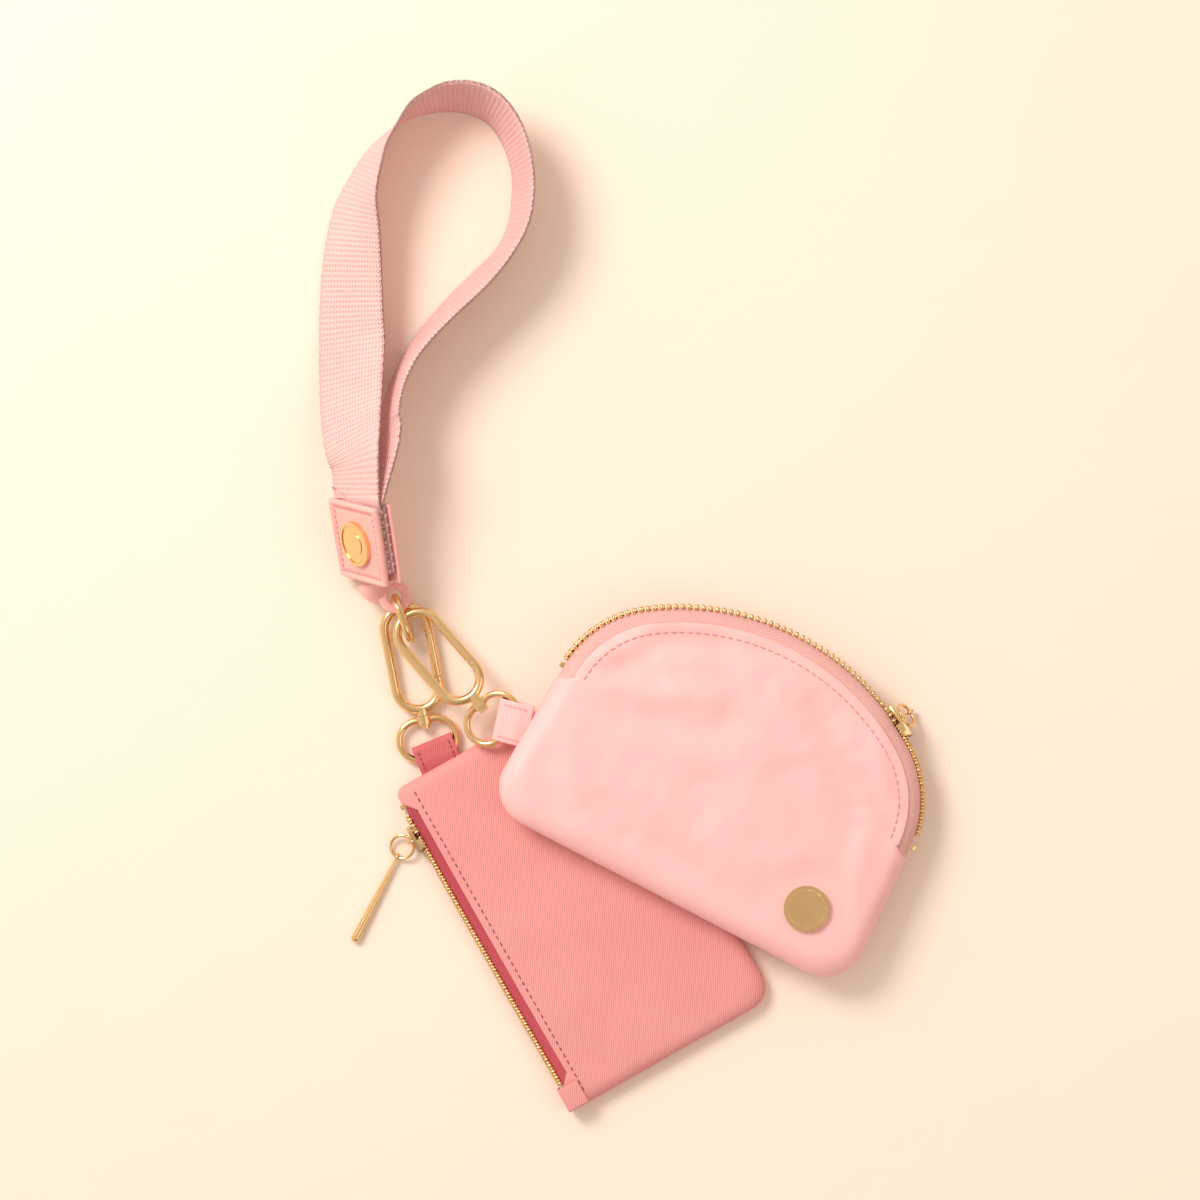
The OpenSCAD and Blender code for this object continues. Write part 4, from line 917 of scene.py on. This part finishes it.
def makeStrap():
    centres, ups = strapRoute()
    gone = np.concatenate([[0], np.cumsum(np.linalg.norm(np.diff(centres, axis=0), axis=1))])
    even = np.linspace(0, gone[-1], strap["samples"])
    centres = np.column_stack([np.interp(even, gone, centres[:, i]) for i in range(3)])
    ups = np.column_stack([np.interp(even, gone, ups[:, i]) for i in range(3)])
    along = np.gradient(centres, axis=0)
    out = np.cross(along, ups)
    out /= np.linalg.norm(out, axis=1)[:, None]
    up = np.cross(out, along)
    up /= np.linalg.norm(up, axis=1)[:, None]
    across = np.concatenate([np.linspace(-1, 1, 15), np.linspace(1, -1, 15)])
    face = np.concatenate([np.ones(15), -np.ones(15)])
    width, thick = strap["width"] / 2, strap["thick"] / 2
    rib = np.sin(2 * np.pi * even / strap["rib"])
    points, uv = [], []
    for j, (a, s) in enumerate(zip(across, face)):
        edge = abs(a) ** 8
        beat = np.sin(2 * np.pi * even / strap["rib"] * 0.5 + (1.4 if a > 0 else 0))
        t = s * (thick * (1 - 0.45 * edge) - strap["ribRise"] * 0.5 + strap["ribRise"] * 0.5 * rib * (1 if s > 0 else -1))
        w = a * (width - 0.12) + np.sign(a) * edge * 0.12 * beat
        points.append(centres + up * w[:, None] + out * t[:, None])
        uv.append(np.column_stack([np.full(len(even), (a * width + (0 if s > 0 else 40)) * mm), even * mm]))
    count = len(across)
    points = np.stack(points, axis=1).reshape(-1, 3)
    uv = np.stack(uv, axis=1).reshape(-1, 2)
    faces = gridFaces(len(even), count, closedColumns=True)
    for start in (0, (len(even) - 1) * count):
        for k in range(14):
            faces.append((start + k, start + k + 1, start + count - 2 - k, start + count - 1 - k))
    piece = outwards(newPiece("strapWebbing", points, faces, mats["strapWebbing"], uv=uv))
    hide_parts("strap_webbing")
    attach(piece, "strap")
    return piece, float(gone[-1])


webbing, webbingLong = makeStrap()
print("strap woven, %.0f mm long" % webbingLong)


# Leather end: a bordered front patch, a plain back flap and the tongue with its hole
def leatherPatch(name, node, bottom, thick, rim, sign, n=64):
    long, wide = strap["leatherLong"] / 2, strap["width"] / 2 + 0.5
    u = np.linspace(-1, 1, n)
    x, y = np.meshgrid(u, u, indexing="ij")
    edge = np.maximum(abs(x), abs(y))
    gap = (1 - np.abs(x)) * long, (1 - np.abs(y)) * wide
    near = np.minimum(*gap)
    top = thick + rim * (1 - smoothstep(1.0, 2.0, near)) * smoothstep(-0.25, 0.7, near)
    top -= 0.32 * smoothstep(1.6, 2.1, near) * (1 - smoothstep(2.5, 3.2, near)) * (1 if rim else 0)
    top -= 0.35 * (1 - smoothstep(0, 0.5, near))
    narrow = 1 - 0.03 * (1 - smoothstep(-1, 0.2, x))
    px, py = x * long, y * wide * narrow
    cornering = 1 - 0.012 * smoothstep(0.8, 1.0, abs(x)) * smoothstep(0.8, 1.0, abs(y))
    upper = np.column_stack([(px * cornering).ravel(), (py * cornering).ravel(), top.ravel()])
    lower = upper.copy()
    lower[:, 2] = 0
    if sign < 0:
        upper[:, 2] *= -1
    points = np.vstack([upper, lower])
    points[:, 2] += bottom
    faces = gridFaces(n, n) + [tuple(i + n * n for i in f) for f in gridFaces(n, n, flip=True)]
    rimLoop = ([i for i in range(n)] + [i * n + n - 1 for i in range(1, n)]
               + [(n - 1) * n + i for i in range(n - 2, -1, -1)] + [i * n for i in range(n - 2, 0, -1)])
    for a, b in zip(rimLoop, rimLoop[1:] + rimLoop[:1]):
        faces.append((a, b, b + n * n, a + n * n))
    piece = outwards(newPiece(name, inLeather.points(points), faces, mats["strapLeather"]))
    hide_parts(node)
    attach(piece, "strap")
    return piece


plateOut = strap["thick"] + 2 * strap["layer"]
frontOut = plateOut + strap["plate"] + strap["layer"]
leatherPatch("leatherFront", "leather_front", frontOut, strap["leatherThick"], strap["borderRise"], 1)
leatherPatch("leatherBack", "leather_back", -plateOut, strap["leatherThick"], 0.0, -1)


def tongue():
    hole = np.array([*layout["holeAt"], 0])
    middleZ, flatUp = 7.4, np.array([0.61, 0.79, 0])
    up = inLeather.vectors([[0, -1, 0]])[0]
    flatUp /= np.linalg.norm(flatUp)
    long = strap["leatherLong"] / 2
    start = inLeather.points([[-long - 0.2, 0, 0]])[0]
    finish = np.array([hole[0] - 2.4, hole[1] + 1.9, middleZ])
    stations = [(inLeather.points([[3.8 - long, 0, 0]])[0], up, 8.0)]
    for t in (0, 0.2, 0.4, 0.6, 0.8, 1):
        way = up * (1 - t) + flatUp * t
        stations.append((start + (finish - start) * t + np.array([-0.6, -0.6, 0.9]) * math.sin(math.pi * t),
                         way / np.linalg.norm(way), 8 - 3.2 * t))
    centres = catmull([s[0] for s in stations], 8)
    ups = catmull([s[1] for s in stations], 8)
    halves = np.interp(np.linspace(0, len(stations) - 1, len(centres)), range(len(stations)), [s[2] for s in stations])
    along = np.gradient(centres, axis=0)
    out = np.cross(along, ups)
    out /= np.linalg.norm(out, axis=1)[:, None]
    leanWay = np.cross(out, along)
    leanWay /= np.linalg.norm(leanWay, axis=1)[:, None]
    a = np.linspace(0, 2 * np.pi, 33)[:-1]
    shape = np.column_stack([np.sign(np.cos(a)) * np.abs(np.cos(a)) ** 0.25,
                             np.sign(np.sin(a)) * np.abs(np.sin(a)) ** 0.6])
    points = np.concatenate([c + u * (h * shape[:, :1]) + o * (0.65 * shape[:, 1:])
                             for c, u, o, h in zip(centres, leanWay, out, halves)])
    faces = gridFaces(len(centres), 32, closedColumns=True)
    faces += [tuple(range(32)), tuple(range(len(points) - 32, len(points)))]
    body = outwards(newPiece("leatherTongue", points, faces, mats["strapLeather"]))
    ringA = np.linspace(0, 2 * np.pi, 65)[:-1]
    profile = [(2.3, -0.45), (2.45, -0.66), (2.9, -0.7), (4.4, -0.7), (5.0, -0.6), (5.2, -0.2), (5.2, 0.2),
               (5.0, 0.6), (4.4, 0.7), (2.9, 0.7), (2.45, 0.66), (2.3, 0.45)]
    eyelet = np.concatenate([np.column_stack([hole[0] + r * np.cos(ringA), hole[1] + r * np.sin(ringA),
                                              np.full(64, middleZ + z)]) for r, z in profile])
    end = outwards(newPiece("leatherTongueEnd", eyelet, gridFaces(len(profile), 64, True, True),
                            mats["strapLeather"]))
    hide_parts("leather_tongue")
    for piece in (body, end):
        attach(piece, "strap")


tongue()
run = strap["width"] / 2 + 0.5 - strap["border"] - 0.8
top = frontOut + strap["leatherThick"] - 0.1
stitchAt, stitchAlong = [], []
for x in (-1, 1):
    for y in np.linspace(-run, run, 14):
        stitchAt.append([x * (strap["leatherLong"] / 2 - strap["border"] - 0.75), y, top])
        stitchAlong.append([0, 1, 0])
    for y in np.linspace(-9, 9, 11):
        stitchAt.append([y, x * (run + 0.05), top])
        stitchAlong.append([1, 0, 0])
leatherSewn = strew("leatherStitching", inLeather.points(stitchAt), inLeather.vectors(stitchAlong),
                    inLeather.vectors([[0, 0, 1]] * len(stitchAt)), (1.35, 0.45, 0.5), mats["paleThread"],
                    squareness=0.1, unevenness=0.06, seed=17)
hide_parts("leather_stitching")
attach(leatherSewn, "strap")


# Zip end tab of the rose pouch and the plain beading on the badges
def zipEndTab():
    h, low = rose["thick"] / 2, -roseHalf[1] + 0.5
    path = np.array([(-1.2, -1.8), (-1.6, -1.2), (-1.75, 0), (-1.75, h - 1), (-1.5, h + 0.1), (-0.9, h + 0.55),
                     (0.5, h + 0.62), (3, h + 0.62), (4.7, h + 0.6), (5.0, h + 0.42)])
    line = catmull(np.column_stack([path, np.zeros(len(path))]), 6)[:, :2]
    across = np.linspace(0, 8, 15)
    points = np.concatenate([np.column_stack([line[:, 0] - roseHalf[0], np.full(len(line), low + y),
                                              line[:, 1] - 0.12 * (abs(y - 4) / 4) ** 6]) for y in across])
    piece = newPiece("roseZipEndTab", inRose.points(points), gridFaces(len(across), len(line)), mats["roseTwill"])
    solidify(piece, 0.5, offset=0)
    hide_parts("rose_zip_end_tab")
    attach(piece, "rose_pouch")


zipEndTab()


def beading(name, place, radius, height, body):
    at, along = [], []
    for r, step in ((radius, 3.0), (radius * 0.42, 12.0)):
        for a in np.radians(np.arange(0, 360, step * 2)):
            at.append([r * math.cos(a), r * math.sin(a), height])
            along.append([-math.sin(a), math.cos(a), 0])
    piece = strew(name, place.points(at), place.vectors(along), place.vectors([[0, 0, 1]] * len(at)),
                  (0.5, 0.5, 0.3), gold, squareness=0.0, rounds=1)
    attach(piece, body)


badgeTop = 1.2
beading("domeBadgeBeading", inDome.then(at=(domeHalf[0] - 23, 18 - dome["drop"], 6.53)), 5.9, badgeTop, "dome_pouch")
beading("strapBadgeBeading", inLeather.then(at=(0, 0, frontOut + 1.43)), 5.9, badgeTop, "strap")
print("trims made")
